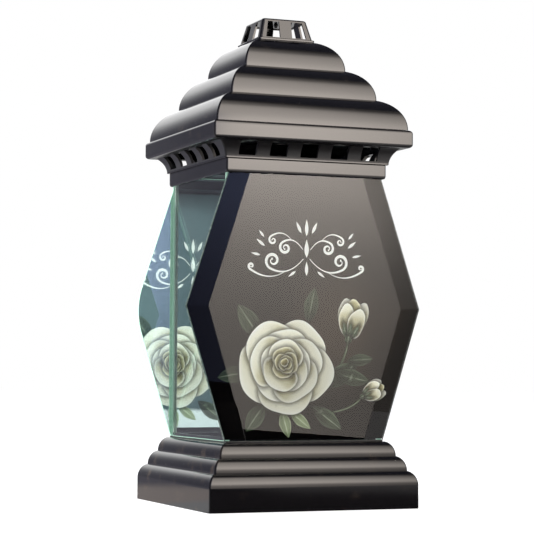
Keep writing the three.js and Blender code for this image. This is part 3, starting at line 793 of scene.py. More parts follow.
# %% Vented cornice
VENT_COUNT, VENT_WIDTH, VENT_MARGIN, VENT_SILL, VENT_ROUND, VENT_HEAD_GAP = 5, 13.4, 9.9, 1.2, 0.5, 0.01
VENT_CUT_DEPTH = 4.0  # behind the cove's wall
SATIN_TOP = FASCIA_FOOT + 0.1  # just over the soffit


def rounded_window(low, high, radius):
    """The outline of a window between two (x, z) corners, with rounded corners."""
    (x0, z0), (x1, z1) = low, high
    outline = []
    for cx, cz, start in ((x1, z1, 0), (x0, z1, 1), (x0, z0, 2), (x1, z0, 3)):
        centre = (cx + (radius if cx == x0 else -radius), cz + (radius if cz == z0 else -radius))
        outline += arc(centre, (radius, radius), start * QUARTER, (start + 1) * QUARTER, TINY_ARC)
    return outline


def make_cornice():
    pitch = (2 * (COVE_FOOT_HALF - VENT_MARGIN) - VENT_WIDTH) / (VENT_COUNT - 1)
    near, far = -(COVE_FOOT_HALF - CORNICE_WALL - VENT_CUT_DEPTH), -FASCIA_HALF
    cutters = []
    for turns in range(4):
        for i in range(VENT_COUNT):
            x = (i - (VENT_COUNT - 1) / 2) * pitch
            low = (x - VENT_WIDTH / 2, COVE_FOOT + VENT_SILL)
            high = (x + VENT_WIDTH / 2, FASCIA_FOOT - VENT_HEAD_GAP)
            cutters.append(plate_mesh(rounded_window(low, high, VENT_ROUND), near, far, turns))
    item = bare_object("vented_cornice", square_swept(cornice_profile()))
    return combined(item, "DIFFERENCE", join_meshes(cutters))


def is_satin(place):
    """Whether a place on the cornice is in its cove or inside its collar."""
    half, height = max(abs(place.x), abs(place.y)) / MM, place.z / MM
    in_cove = COVE_FOOT < height < SATIN_TOP and half < COVE_HEAD_HALF + FASCIA_SOFFIT
    return in_cove or half < COLLAR_HALF - CORNICE_WALL / 2


cornice = hand_over(make_cornice(), BLACK, "lantern", ["vent_cornice"])
cornice.data.materials.append(SATIN_BLACK)
for polygon in cornice.data.polygons:
    polygon.material_index = int(is_satin(polygon.center))

# %% [markdown]
# The roof lifts off in one piece. Its three big rounded steps are thin walled, a skirt below drops
# inside the cornice and keeps the roof central, and four pegs inside hold the heat shield.

# %% The roof's shell
ROOF_FOOT = FASCIA_TOP + GLUE_GAP
ROOF_HALF, ROOF_STEP = FASCIA_HALF - FASCIA_EDGE, 17.35
ROOF_STEPS = dict(half=ROOF_HALF, foot=ROOF_FOOT, count=3, step=ROOF_STEP, rise=22.9, reach=23.7)
ROOF_WALL, LEDGE, SKIRT_DEPTH, SKIRT_THICKNESS, CHIMNEY_HALF = 2.0, 1.6, 6.0, 1.5, 17.5
SKIRT_LEAD, SKIRT_LEAD_HEIGHT = 0.5, 1.0
ROOF_TOP = ROOF_FOOT + ROOF_STEPS["count"] * ROOF_STEPS["rise"]
SKIRT_OUTER = FLANGE_HALF - GLUE_GAP


def roof_shell():
    ledge_top, skirt_foot = ROOF_FOOT + LEDGE, ROOF_FOOT - SKIRT_DEPTH
    skirt_inner = SKIRT_OUTER - SKIRT_THICKNESS
    inside = [p for p in shouldered(inwards=ROOF_WALL, **ROOF_STEPS) if p[1] > ledge_top]
    return square_swept(
        [(skirt_inner, skirt_foot), (SKIRT_OUTER - SKIRT_LEAD, skirt_foot)]
        + [(SKIRT_OUTER, skirt_foot + SKIRT_LEAD_HEIGHT), (SKIRT_OUTER, ROOF_FOOT)]
        + shouldered(**ROOF_STEPS)
        + [(CHIMNEY_HALF, ROOF_TOP), (CHIMNEY_HALF, ROOF_TOP - ROOF_WALL)]
        + inside[::-1]
        + [(ROOF_HALF - ROOF_WALL, ledge_top), (skirt_inner, ledge_top)]
    )


print("the roof stands from", round(ROOF_FOOT, 1), "to", round(ROOF_TOP, 1), "mm")

# %% Pegs, and the roof in one piece
SHIELD_GAP, SHIELD_RISE, SHIELD_THICKNESS, SHIELD_LIP, SHIELD_CORNER = 1.25, 16.7, 0.6, 4.0, 5.0
SHIELD_HALF = ROOF_HALF - ROOF_STEP - ROOF_WALL - SHIELD_GAP
SHIELD_TOP = ROOF_FOOT + SHIELD_RISE
PEG_INSET, PEG_RADIUS, PIN_RADIUS, HEAD_RADIUS, HEAD_THICKNESS, PEG_STEPS = 8.0, 3.0, 1.6, 3.6, 1.4, 32
PEG_PLACE = SHIELD_HALF - PEG_INSET


def at_pegs(profile):
    """Four copies of a small turned body, one at each peg."""
    bodies = []
    for x in (-PEG_PLACE, PEG_PLACE):
        for y in (-PEG_PLACE, PEG_PLACE):
            body = round_swept(profile, PEG_STEPS)
            bmesh.ops.translate(body, verts=body.verts, vec=Vector((x, y, 0)) * MM)
            bodies.append(body)
    return join_meshes(bodies)


def roof_pegs():
    """Pegs with staked heads, trimmed to the middle of the roof's wall."""
    shoulder, head_top = SHIELD_TOP + GLUE_GAP, SHIELD_TOP - SHIELD_THICKNESS - GLUE_GAP
    head = arc((0, head_top), (HEAD_RADIUS, HEAD_THICKNESS), -QUARTER, 0, SMALL_ARC)
    pegs = bare_object("pegs", at_pegs(
        [(0, head[0][1])] + head[1:]
        + [(PIN_RADIUS, head_top), (PIN_RADIUS, shoulder)]
        + [(PEG_RADIUS, shoulder), (PEG_RADIUS, ROOF_TOP), (0, ROOF_TOP)]
    ))
    foot, middle = SHIELD_TOP - SHIELD_LIP - HEAD_THICKNESS, ROOF_WALL / 2
    core = square_swept(
        [(0, foot), (ROOF_HALF - middle, foot)]
        + [p for p in shouldered(inwards=middle, **ROOF_STEPS) if p[1] > foot]
        + [(0, ROOF_TOP - middle)]
    )
    return taken_out(combined(pegs, "INTERSECT", core))


tiered_roof = combined(bare_object("tiered_roof", roof_shell()), "UNION", roof_pegs())
hand_over(tiered_roof, BLACK, "roof", ["roof"])

# %% [markdown]
# The chimney cap is a small cage that lets the smoke out and keeps the rain off. It has a post in
# the middle of each face and one at each corner, and four barbed tabs that clip it into the roof.
# Under its crown the mould's gate has left a stub, which shows in the windows.

# %% Chimney cap
CAP_HEIGHT, CAP_FLANGE, CAP_WALL, CAP_EDGE, CAP_SOFT = 16.8, 1.5, 1.6, 2.0, 0.4
CAP_TAB_WIDTH, CAP_TAB, CAP_BARB, CAP_BARB_HEIGHT = 8.0, 1.6, 1.0, 2.2
CAP_FOOT = ROOF_TOP + GLUE_GAP
CAP_TOP = CAP_FOOT + CAP_HEIGHT
CAP_BORE = CHIMNEY_HALF - GLUE_GAP - CAP_TAB
CAP_FOOT_HALF, CAP_TOP_HALF, CAP_FLANGE_HALF = 21.2, 17.8, 22.5
CAP_POST, CAP_CORNER_POST, CAP_SILL, CAP_HEAD = 9.4, 4.6, 0.8, 2.2
GATE_TIP, GATE_ROOT, GATE_LENGTH, GATE_STEPS = 1.0, 2.0, 3.2, 24


def cage_shell():
    flange_top, under = CAP_FOOT + CAP_FLANGE, CAP_TOP - CAP_WALL
    centre, rounded = (CAP_TOP_HALF - CAP_EDGE, CAP_TOP - CAP_EDGE), (CAP_EDGE, CAP_EDGE)
    return square_swept(
        [(0, under), (CAP_TOP_HALF - CAP_WALL, under), (CAP_FOOT_HALF - CAP_WALL, flange_top)]
        + [(CAP_BORE, flange_top), (CAP_BORE, CAP_FOOT), (CAP_FLANGE_HALF, CAP_FOOT)]
        + [(CAP_FLANGE_HALF, flange_top - CAP_SOFT), (CAP_FLANGE_HALF - CAP_SOFT, flange_top)]
        + [(CAP_FOOT_HALF, flange_top)] + arc(centre, rounded, 0, QUARTER, SMALL_ARC) + [(0, CAP_TOP)],
        CAP_EDGE,
    )


def window_edge(height):
    """How far from the middle a window reaches, beside the sloping corner post."""
    share = (height - CAP_FOOT) / CAP_HEIGHT
    return CAP_FOOT_HALF + (CAP_TOP_HALF - CAP_FOOT_HALF) * share - CAP_CORNER_POST


def make_cap():
    foot, head = CAP_FOOT + CAP_FLANGE + CAP_SILL, CAP_TOP - CAP_HEAD
    post, through = CAP_POST / 2, 2 * CAP_FOOT_HALF
    outline = [(post, foot), (window_edge(foot), foot), (window_edge(head), head), (post, head)]
    item = bare_object("chimney_cage", cage_shell())
    for turns in (0, 1):
        windows = [
            plate_mesh([(sign * x, z) for x, z in outline], -through, through, turns) for sign in (-1, 1)
        ]
        combined(item, "DIFFERENCE", join_meshes(windows))
    root, barb_top = CAP_FOOT + CAP_FLANGE / 2, ROOF_TOP - ROOF_WALL - GLUE_GAP
    face, barb_foot = CAP_BORE + CAP_TAB, barb_top - CAP_BARB_HEIGHT
    tab = [
        (CAP_BORE, root), (CAP_BORE, barb_foot), (face, barb_foot),
        (CHIMNEY_HALF + CAP_BARB, barb_top), (face, barb_top), (face, root),
    ]
    tabs = [plate_mesh(tab, -CAP_TAB_WIDTH / 2, CAP_TAB_WIDTH / 2, turns) for turns in range(4)]
    top, tip = CAP_TOP - CAP_WALL / 2, CAP_TOP - CAP_WALL / 2 - GATE_LENGTH
    gate = round_swept([(0, tip), (GATE_TIP, tip), (GATE_ROOT, top), (0, top)], GATE_STEPS)
    return combined(item, "UNION", join_meshes(tabs), gate)


hand_over(make_cap(), BLACK, "roof", ["chimney_cap"])

# %% [markdown]
# Between the flame and the plastic roof hangs a pressed tray of tin plate. Tin plate is thin steel,
# cold rolled and then dipped in tin: a bright metal with fine straight roll lines. The lines are
# really some 0.02 mm apart, and are drawn wider here so that they show. Being metal, it keeps the
# default IOR, and its colour is the colour of its reflections.

# %% Tin plate
ROLL_LINE_MM, ROLL_LENGTH_MM, ROLL_DEPTH_MM = 0.5, 40.0, 0.02
HANDLED_MM = 12.0
MOTTLE = dict(From_Min=0.3, From_Max=0.7)  # a noise has nearly all its values between these


def tin_plate():
    material, add = new_material("cold-rolled tin plate")
    place = add("TexCoord").outputs["Object"]
    stretch = [fineness(size) for size in (ROLL_LENGTH_MM, ROLL_LINE_MM, ROLL_LINE_MM)]
    lines = add("TexNoise", Vector=add("VectorMath", TIMES, _0=place, _1=stretch), Scale=1.0, Detail=3.0)
    handled = add("TexNoise", Vector=place, Scale=fineness(HANDLED_MM), Detail=3.0, Roughness=0.5)
    dulled = add("MapRange", SMOOTH, Value=handled, From_Min=0.4, From_Max=0.7)
    sheen = add("MapRange", SMOOTH, Value=lines, **MOTTLE, To_Min=0.22, To_Max=0.4)
    metal = add(
        "BsdfPrincipled", Metallic=1.0, Roughness=sheen,
        Base_Color=add("Mix", COLOURS, _0=dulled, _6="#d6d7d9", _7="#b9b5ac"),
        Normal=add("Bump", Strength=0.6, Distance=ROLL_DEPTH_MM * MM, Height=lines),
    )
    add("OutputMaterial", Surface=metal)
    return material


TIN = tin_plate()
print("nodes in the tin plate:", len(TIN.node_tree.nodes))

# %% Heat shield
PIN_HOLE_RADIUS = PIN_RADIUS + GLUE_GAP
SHIELD_BEND = 1.4


def make_shield():
    foot, under = SHIELD_TOP - SHIELD_LIP, SHIELD_TOP - SHIELD_THICKNESS
    centre, tight = (SHIELD_HALF - SHIELD_BEND, SHIELD_TOP - SHIELD_BEND), SHIELD_BEND - SHIELD_THICKNESS
    tray = square_swept(
        [(0, under)] + arc(centre, (tight, tight), QUARTER, 0, BEND_ARC)
        + [(SHIELD_HALF - SHIELD_THICKNESS, foot), (SHIELD_HALF, foot)]
        + arc(centre, (SHIELD_BEND, SHIELD_BEND), 0, QUARTER, BEND_ARC) + [(0, SHIELD_TOP)],
        SHIELD_CORNER,
    )
    past = SHIELD_TOP + OVERRUN
    holes = at_pegs([(0, foot), (PIN_HOLE_RADIUS, foot), (PIN_HOLE_RADIUS, past), (0, past)])
    return combined(bare_object("heat_tray", tray), "DIFFERENCE", holes)


hand_over(make_shield(), TIN, "roof", ["heat_shield"])

# %% [markdown]
# Float glass looks clear through its 4 mm and green along its length, because the iron in it takes
# a little red out of every millimetre. Volume absorption does exactly that, so the faces stay clear
# and the cut edges turn green by themselves. Its IOR is 1.52. Shadow rays and scattered light pass
# straight through it, as a renderer would otherwise leave the inside of the lantern dark.

# %% Float glass
GLASS_GREEN = "#50dbb4"
GLASS_DENSITY = 12.0
RIPPLE_MM, RIPPLE_DEPTH_MM = 55.0, 0.01


def float_glass():
    material, add = new_material("clear float glass")
    place = add("TexCoord").outputs["Object"]
    draw_lines = add("TexNoise", Vector=place, Scale=fineness(RIPPLE_MM), Detail=0.0, Roughness=0.5)
    clear = add(
        "BsdfPrincipled", Base_Color="#ffffff", Roughness=0.0, IOR=1.52, Transmission_Weight=1.0,
        Normal=add("Bump", Strength=1.0, Distance=RIPPLE_DEPTH_MM * MM, Height=draw_lines),
    )
    passing = add("BsdfTransparent", Color="#f6f8f7")
    path = add("LightPath").outputs
    either = add("Math", LARGER, _0=path["Is Shadow Ray"], _1=path["Is Diffuse Ray"])
    add(
        "OutputMaterial", Surface=add("MixShader", Fac=either, _1=clear, _2=passing),
        Volume=add("VolumeAbsorption", Color=GLASS_GREEN, Density=GLASS_DENSITY),
    )
    return material


GLASS = float_glass()
print("light left after 4 mm and 120 mm of glass, red and green:", [
    round(math.exp(-GLASS_DENSITY * (1 - linear(GLASS_GREEN)[c]) * depth), 2)
    for depth in (0.004, 0.12) for c in (0, 1)
])

# %% [markdown]
# Many surfaces of the lantern are of one kind: their tone and gloss wander between two values over
# a few millimetres, and a fine relief lies on top. So one function makes them all from real sizes.
# The first are the glass's ground edges. The stone leaves them frosted and pale green, and their
# emission is a painted glow in place of the light carried inside the pane. The front pane's edges
# lie over dark ink and were polished after grinding; their dark colour is painted, in place of the
# ink that a clear polished edge would show, and they don't glow.

# %% Mottled surfaces, and ground glass edges
CHATTER, EDGE_SHEEN = (1.2, 3.0, 0.5), (6.0, 2.0, 0.5)


def mottled(name, tone, tones, sheen, sheens, relief, strength, depth_mm, **sockets):
    """A surface whose tone, sheen and relief each follow a noise: (size in mm, detail, roughness)."""
    material, add = new_material(name)
    place = add("TexCoord").outputs["Object"]
    noises = {}
    for grain in dict.fromkeys((tone, sheen, relief)):
        noises[grain] = add(
            "TexNoise", Vector=place, Scale=fineness(grain[0]), Detail=grain[1], Roughness=grain[2],
        )
    share = add("MapRange", SMOOTH, Value=noises[tone], **MOTTLE)
    surface = add(
        "BsdfPrincipled",
        Base_Color=add("Mix", COLOURS, _0=share, _6=tones[0], _7=tones[1]),
        Roughness=add(
            "MapRange", SMOOTH, Value=noises[sheen], **MOTTLE, To_Min=sheens[0], To_Max=sheens[1],
        ),
        Normal=add("Bump", Strength=strength, Distance=depth_mm * MM, Height=noises[relief]),
        **sockets,
    )
    add("OutputMaterial", Surface=surface)
    return material


# Painted light: the emission is a glow in place of the light carried inside the pane.
def ground_edge(name, tones, sheens, glow):
    return mottled(
        name, CHATTER, tones, EDGE_SHEEN, sheens, CHATTER, strength=0.5, depth_mm=0.03,
        IOR=1.52, Emission_Color="#8db8a2", Emission_Strength=glow,
    )


GROUND_EDGE = ground_edge("stone-ground glass edge", ("#7b9589", "#9cb4a8"), (0.35, 0.5), 0.6)
# Painted shade: the front edges' dark tones stand in for the dark ink seen through a polished edge.
FRONT_EDGE_PAINTED_DARK = ground_edge("polished glass edge painted dark for the ink behind it", ("#26312d", "#3c4a45"), (0.2, 0.35), 0.0)
print("materials for the glass's edges:", GROUND_EDGE.name, "and", FRONT_EDGE_PAINTED_DARK.name)

# %% [markdown]
# The front pane and the mirror are hexagons, and the front one has a wide bevel ground along its
# four slanted edges. Cut glass never has a razor edge. The cutter takes an arris off with a stone,
# and that narrow flat is the bright line that shows where a pane ends. The mirror's side points are
# ground round, so that they don't chip.

# %% Outlines of the panes
BEDDING_THICKNESS = 1.0
PANE_FOOT = DECK_TOP + BEDDING_THICKNESS
PANE_HEAD = COLLAR_FOOT + SHELF_DEPTH - BEDDING_THICKNESS
PANE_FOOT_HALF, PANE_VERTEX_HALF, PANE_HEAD_HALF, PANE_VERTEX_HEIGHT = 61.4, 90.9, 57.4, 144.0
MIRROR_POINT_CUT = 2.9
UPPER_SLOPE = (PANE_VERTEX_HALF - PANE_HEAD_HALF) / (PANE_HEAD - PANE_VERTEX_HEIGHT)
LOWER_SLOPE = (PANE_VERTEX_HALF - PANE_FOOT_HALF) / (PANE_VERTEX_HEIGHT - PANE_FOOT)


def hexagon(inset, foot, head):
    """The pane's outline in (x, z), drawn in from its slanted edges, counter-clockwise."""
    upper_inset = inset * math.hypot(1, UPPER_SLOPE)
    lower_inset = inset * math.hypot(1, LOWER_SLOPE)
    rise = (lower_inset - upper_inset) / (UPPER_SLOPE + LOWER_SLOPE)
    vertex_half = PANE_VERTEX_HALF - upper_inset - UPPER_SLOPE * rise
    foot_half = PANE_VERTEX_HALF - lower_inset - LOWER_SLOPE * (PANE_VERTEX_HEIGHT - foot)
    head_half = PANE_VERTEX_HALF - upper_inset - UPPER_SLOPE * (head - PANE_VERTEX_HEIGHT)
    right = [(foot_half, foot), (vertex_half, PANE_VERTEX_HEIGHT + rise), (head_half, head)]
    return right + [(-x, z) for x, z in reversed(right)]


def rounded_hexagon(inset, foot, head):
    """The mirror's outline: the hexagon with its two side points ground round."""
    upper, lower = math.atan(UPPER_SLOPE), math.atan(LOWER_SLOPE)
    across = (math.sin(lower) + math.sin(upper)) / math.sin(lower + upper)
    radius = MIRROR_POINT_CUT / (across - 1)
    centre = (
        PANE_VERTEX_HALF - across * radius,
        PANE_VERTEX_HEIGHT - (1 - across * math.cos(upper)) / math.sin(upper) * radius,
    )
    point = arc(centre, (radius - inset, radius - inset), -lower, upper, EDGE_ARC)
    right = [hexagon(inset, foot, head)[0]] + point + [hexagon(inset, foot, head)[2]]
    return right + [(-x, z) for x, z in reversed(right)]


print("slopes of the panes' edges:", round(UPPER_SLOPE, 3), "and", round(LOWER_SLOPE, 3))

# %% Panes
BEVEL_WIDTH, BEVEL_DEPTH = 15.0, 1.3
FILM_THICKNESS = 0.2
ARRIS = 0.3
BROAD_FACE = 0.9
ONE_FLAT = math.radians(1)
SIDE_YS = (-PANE_INNER + FILM_THICKNESS + GLUE_GAP, PANE_INNER - GLUE_GAP)


def convex_glass(name, points):
    """A ground pane: the hull of its corners, with an arris on every edge."""
    mesh = bmesh.new()
    for point in points:
        mesh.verts.new(Vector(point) * MM)
    bmesh.ops.convex_hull(mesh, input=mesh.verts)
    bmesh.ops.dissolve_limit(mesh, angle_limit=ONE_FLAT, verts=mesh.verts, edges=mesh.edges)
    bmesh.ops.bevel(
        mesh, geom=mesh.edges[:], offset=ARRIS * MM, offset_type="OFFSET", segments=1,
        profile=0.5, affect="EDGES", clamp_overlap=True,
    )
    return bare_object(name, mesh)


def pane_corners(outline, *layers):
    return [(x, y, z) for inset, y in layers for x, z in outline(inset, PANE_FOOT, PANE_HEAD)]


def side_corners(sign):
    xs = (sign * PANE_INNER, sign * GLASS_BOX_HALF)
    return [(x, y, z) for x in xs for y in SIDE_YS for z in (PANE_FOOT, PANE_HEAD)]


FRONT_LAYERS = [
    (BEVEL_WIDTH, -GLASS_BOX_HALF), (0, -GLASS_BOX_HALF + BEVEL_DEPTH), (0, -PANE_INNER),
]
# Each pane's name, the axis across it, its slot, its edge and its corners.
for side, across, slot, edge, corners in (
    ("front", 1, "clear_glass", FRONT_EDGE_PAINTED_DARK, pane_corners(hexagon, *FRONT_LAYERS)),
    ("back", 1, "mirror_glass", GROUND_EDGE,
     pane_corners(rounded_hexagon, (0, PANE_INNER), (0, GLASS_BOX_HALF))),
    ("left", 0, "clear_glass", GROUND_EDGE, side_corners(-1)),
    ("right", 0, "clear_glass", GROUND_EDGE, side_corners(1)),
):
    pane = convex_glass("ground_" + side + "_pane", corners)
    hand_over(pane, GLASS, "lantern", [side + "_pane"], smooth=False)
    pane.data.materials.append(edge)
    for polygon in pane.data.polygons:
        polygon.material_index = int(abs(polygon.normal[across]) < BROAD_FACE)

# %% [markdown]
# A mirror is that same glass with silver on its rear face, sealed with a coat of grey paint. The
# two are one thin plate here, silver towards the glass and paint towards the outside. The silver has
# the faintest haze, and the rolled paint is cloudy with a fine orange peel.

# %% Silvering and its backing paint
SILVER_INSET, SILVER_GAP, SILVER_THICKNESS = 0.6, 0.02, 0.23
HAZE_MM = 30.0
PAINT_CLOUD, ORANGE_PEEL = (18.0, 4.0, 0.6), (1.6, 1.0, 0.5)


def silver():
    material, add = new_material("chemically deposited silver")
    place = add("TexCoord").outputs["Object"]
    cloud = add("TexNoise", Vector=place, Scale=fineness(HAZE_MM), Detail=3.0, Roughness=0.5)
    haze = add("MapRange", SMOOTH, Value=cloud, From_Min=0.5, From_Max=0.8, To_Max=0.02)
    add("OutputMaterial", Surface=add("BsdfPrincipled", Base_Color="#f4f6f5", Metallic=1.0, Roughness=haze))
    return material


BACKING_PAINT = mottled(
    "rolled grey backing paint", PAINT_CLOUD, ("#5c6064", "#6b6f73"), PAINT_CLOUD, (0.42, 0.58),
    ORANGE_PEEL, strength=0.5, depth_mm=0.05, IOR=1.5,
)
silver_front = GLASS_BOX_HALF + SILVER_GAP
silvering = bare_object("mirror_silvering", plate_mesh(
    rounded_hexagon(SILVER_INSET, PANE_FOOT + SILVER_INSET, PANE_HEAD - SILVER_INSET),
    silver_front, silver_front + SILVER_THICKNESS,
))
hand_over(silvering, silver(), "lantern", smooth=False)
silvering.data.materials.append(BACKING_PAINT)
for polygon in silvering.data.polygons:
    polygon.material_index = int(polygon.normal.y > -BROAD_FACE)

# %% [markdown]
# The picture on the front pane is printed on a film: a cream rose with its buds on a dark ground,
# under a white ornament of pen flourishes. It is drawn as a gradient mesh, the way an illustrator
# draws one. Petals and leaves are outlines with painted colours at their points, laid one over
# another, and one triangulation of them all gives a flat sheet with crisp edges and soft shading.

# %% Painted colours
def petal_paint(stops, across, rim_hex, rim_share, rim_from):
    """Colour along a petal, from its root to its tip, with a pale rim."""
    def paint(u, v, rim):
        pale = rim_share * ease(rim_from, 0.97, rim)
        return blend(along(stops, u + across * v), linear(rim_hex), pale)
    return paint


def leaf_paint(stops, root_hex, root_share, root_from, lower_share):
    """Colour from a leaf's rib to its edge, darker at its root and on its lower half."""
    def paint(u, v, rim):
        dark = root_share * ease(root_from, -1.0, u) + lower_share * (v < 0)
        return blend(along(stops, abs(v)), linear(root_hex), dark)
    return paint


CREAM = petal_paint(
    [(-1.0, "#2e2b1a"), (-0.3, "#837b58"), (0.25, "#cfc8a8"), (0.7, "#f2eedd"), (1.0, "#fbf9ee")],
    0.12, "#fffef6", 0.6, 0.84,
)
HEART_CREAM = petal_paint(
    [(-1.0, "#241f10"), (0.1, "#6d643c"), (0.75, "#bdb488"), (1.0, "#d9d2ac")],
    0.0, "#f6f2dc", 0.75, 0.8,
)
GREEN = leaf_paint(
    [(0.0, "#8a9480"), (0.1, "#414c3a"), (0.55, "#2c3528"), (1.0, "#56634f")],
    "#171b14", 0.7, 0.3, 0.25,
)
PALE_GREEN = leaf_paint(
    [(0.0, "#d3dbc0"), (0.12, "#8f9d78"), (0.6, "#6f7d5c"), (1.0, "#b3be9d")],
    "#4a553d", 0.6, 0.2, 0.2,
)
print("a petal's rim in linear light:", [round(channel, 2) for channel in CREAM(1.0, 0.0, 1.0)[:3]])

# %% Petals
FEWEST_STEPS, STEPS_PER_MM = 16, 0.55
BROAD_RIPPLE, FINE_RIPPLE = 0.035, 0.02
WITHIN_REACH = 1.1  # the ripple never goes further out than this
SHADE = 0.72


class Petal:
    """A wavy oval. u runs from its root at -1 to its tip at 1, and v across it."""

    rings_inside = (0.96, 0.86, 0.66, 0.4)
    rings_beside = (0.5, 1.5, 3.0)
    shadow_depth = 3.6

    def __init__(self, centre, bearing, length, width, paint, tone=1.0, wave=0.0):
        self.centre = centre
        self.turn = math.radians(bearing)
        self.half = (length / 2, width / 2)
        self.paint, self.tone, self.wave = paint, tone, wave
        self.steps = max(FEWEST_STEPS, round(STEPS_PER_MM * (length + width)))

    def placed(self, u, v):
        a, b = u * self.half[0], v * self.half[1]
        c, s = math.cos(self.turn), math.sin(self.turn)
        return (self.centre[0] + a * c - b * s, self.centre[1] + a * s + b * c)

    def local(self, point):
        x, z = point[0] - self.centre[0], point[1] - self.centre[1]
        c, s = math.cos(self.turn), math.sin(self.turn)
        return (x * c + z * s) / self.half[0], (z * c - x * s) / self.half[1]

    def ripple(self, angle):
        broad, fine = math.sin(3 * angle + self.wave), math.sin(5 * angle + 2.3 * self.wave)
        return 1 + BROAD_RIPPLE * broad + FINE_RIPPLE * fine

    def ring(self, share, steps):
        angles = [2 * math.pi * i / steps for i in range(steps)]
        reaches = [share * self.ripple(angle) for angle in angles]
        return [self.placed(r * math.cos(a), r * math.sin(a)) for r, a in zip(reaches, angles)]

    def outlines(self):
        return [self.ring(1.0, self.steps)]

    def inner_points(self):
        rings = [self.ring(share, round(self.steps * (0.4 + share / 2))) for share in self.rings_inside]
        return [point for ring in rings for point in ring]

    def outer_points(self):
        mean = sum(self.half) / 2
        return [p for beside in self.rings_beside for p in self.ring(1 + beside / mean, self.steps)]

    def rim(self, point):
        """0 at the middle, 1 on the outline."""
        u, v = self.local(point)
        return math.hypot(u, v) / self.ripple(math.atan2(v, u))

    def near(self, point, beyond=0.0):
        return math.dist(point, self.centre) < WITHIN_REACH * max(self.half) + beyond

    def holds(self, point):
        return self.near(point) and self.rim(point) < 1

    def colour(self, point):
        u, v = self.local(point)
        return [channel * self.tone for channel in self.paint(u, v, self.rim(point))[:3]]

    def shadow(self, point):
        """The light that is left at a point beside this petal, for what lies below."""
        if not self.near(point, self.shadow_depth):
            return 1.0
        beside = (self.rim(point) - 1) * sum(self.half) / 2
        return 1 - SHADE * (1 - ease(0.0, self.shadow_depth, beside))


print("points on the outline of a petal of 40 by 50 mm:", Petal((0, 0), 0, 40, 50, CREAM).steps)

# %% Leaves
BLADE_POINT, BLADE_FULLNESS = 1.7, 0.9
LEAST_BREADTH = 0.05


class Leaf(Petal):
    """A pointed blade with a rib along its middle. v is 1 on the edge all the way."""

    lines_inside = (-0.7, -0.12, 0.0, 0.12, 0.7)

    def breadth(self, u):
        return max(0.0, 1 - abs(u) ** BLADE_POINT) ** BLADE_FULLNESS

    def edge(self, steps, share):
        us = [-math.cos(math.pi * i / steps) for i in range(steps + 1)]
        return [self.placed(u, share * self.breadth(u)) for u in us]

    def outlines(self):
        lower, upper = self.edge(self.steps // 2, -1.0), self.edge(self.steps // 2, 1.0)
        return [lower + upper[-2:0:-1]]

    def inner_points(self):
        return [p for share in self.lines_inside for p in self.edge(self.steps, share)[1:-1]]

    def holds(self, point):
        u, v = self.local(point)
        return abs(v) < self.breadth(u)

    def colour(self, point):
        u, v = self.local(point)
        v = v / max(self.breadth(u), LEAST_BREADTH)
        return [channel * self.tone for channel in self.paint(u, v, 0.0)[:3]]


print("breadth of a leaf half way to its tip:", round(Leaf((0, 0), 0, 20, 10, GREEN).breadth(0.5), 2))

# %% Strokes
def signed_area(outline):
    """Positive when the outline runs counter-clockwise."""
    return sum(x0 * z1 - x1 * z0 for (x0, z0), (x1, z1) in zip(outline, outline[1:] + outline[:1])) / 2


class Stroke:
    """A line whose points carry half-widths, in one colour."""

    def __init__(self, points, colour):
        self.points, self.ink = points, linear(colour)[:3]
        self.quads = self.outlines()
        corners = [corner for quad in self.quads for corner in quad]
        self.low, self.high = [tuple(pick(axis) for axis in zip(*corners)) for pick in (min, max)]

    def outlines(self):
        sides = []
        for i, (x, z, thick) in enumerate(self.points):
            before, after = self.points[max(i - 1, 0)], self.points[min(i + 1, len(self.points) - 1)]
            dx, dz = after[0] - before[0], after[1] - before[1]
            length = math.hypot(dx, dz)
            nx, nz = -dz / length * thick, dx / length * thick
            sides.append(((x + nx, z + nz), (x - nx, z - nz)))
        quads = [(low[1], high[1], high[0], low[0]) for low, high in zip(sides, sides[1:])]
        hulls = [[quad[i] for i in convex_hull_2d(quad)] for quad in quads]
        return [hull if signed_area(hull) > 0 else hull[::-1] for hull in hulls]

    def inner_points(self):
        return []

    def outer_points(self):
        return []

    def holds(self, point):
        x, z = point
        if not (self.low[0] < x < self.high[0] and self.low[1] < z < self.high[1]):
            return False
        return any(
            all(
                (x1 - x0) * (z - z0) > (z1 - z0) * (x - x0)
                for (x0, z0), (x1, z1) in zip(quad, quad[1:] + quad[:1])
            )
            for quad in self.quads
        )

    def colour(self, point):
        return self.ink

    def shadow(self, point):
        return 1.0


print("area of a unit square:", signed_area([(0, 0), (1, 0), (1, 1), (0, 1)]))

# %% [markdown]
# A rose is five petals, laid five at a time in ever smaller whorls, and a tight spiral at its
# heart. Each next petal of the spiral turns on by 137.5 degrees, as in many flowers, so that none
# hides the one before it. All chance comes from one seed, and so the rose is the same each time.

# %% Petals and heart of a rose
NEXT_PETAL = 137.5
PETAL_LEAN = 0.86
LIGHT_FROM = math.radians(125)
MEAN_LIGHT, LIGHT_SWING = 0.86, 0.16
TURN_WANDER, SIZE_WANDER, WAVE_RANGE = 7, (0.94, 1.06), (0.3, 6.0)
# Number of petals, then their distance, length and width for a rose of size 1, and first bearing.
WHORLS = ((5, 0.52, 1.0, 1.14, 54), (5, 0.35, 0.82, 0.96, 88), (5, 0.22, 0.62, 0.76, 20))
HEART_PETALS, HEART_SHRINK, HEART_RISE, HEART_START = 9, 0.87, 0.04, 100
HEART_AWAY, HEART_LENGTH, HEART_WIDTH = 0.12, 0.46, 0.52


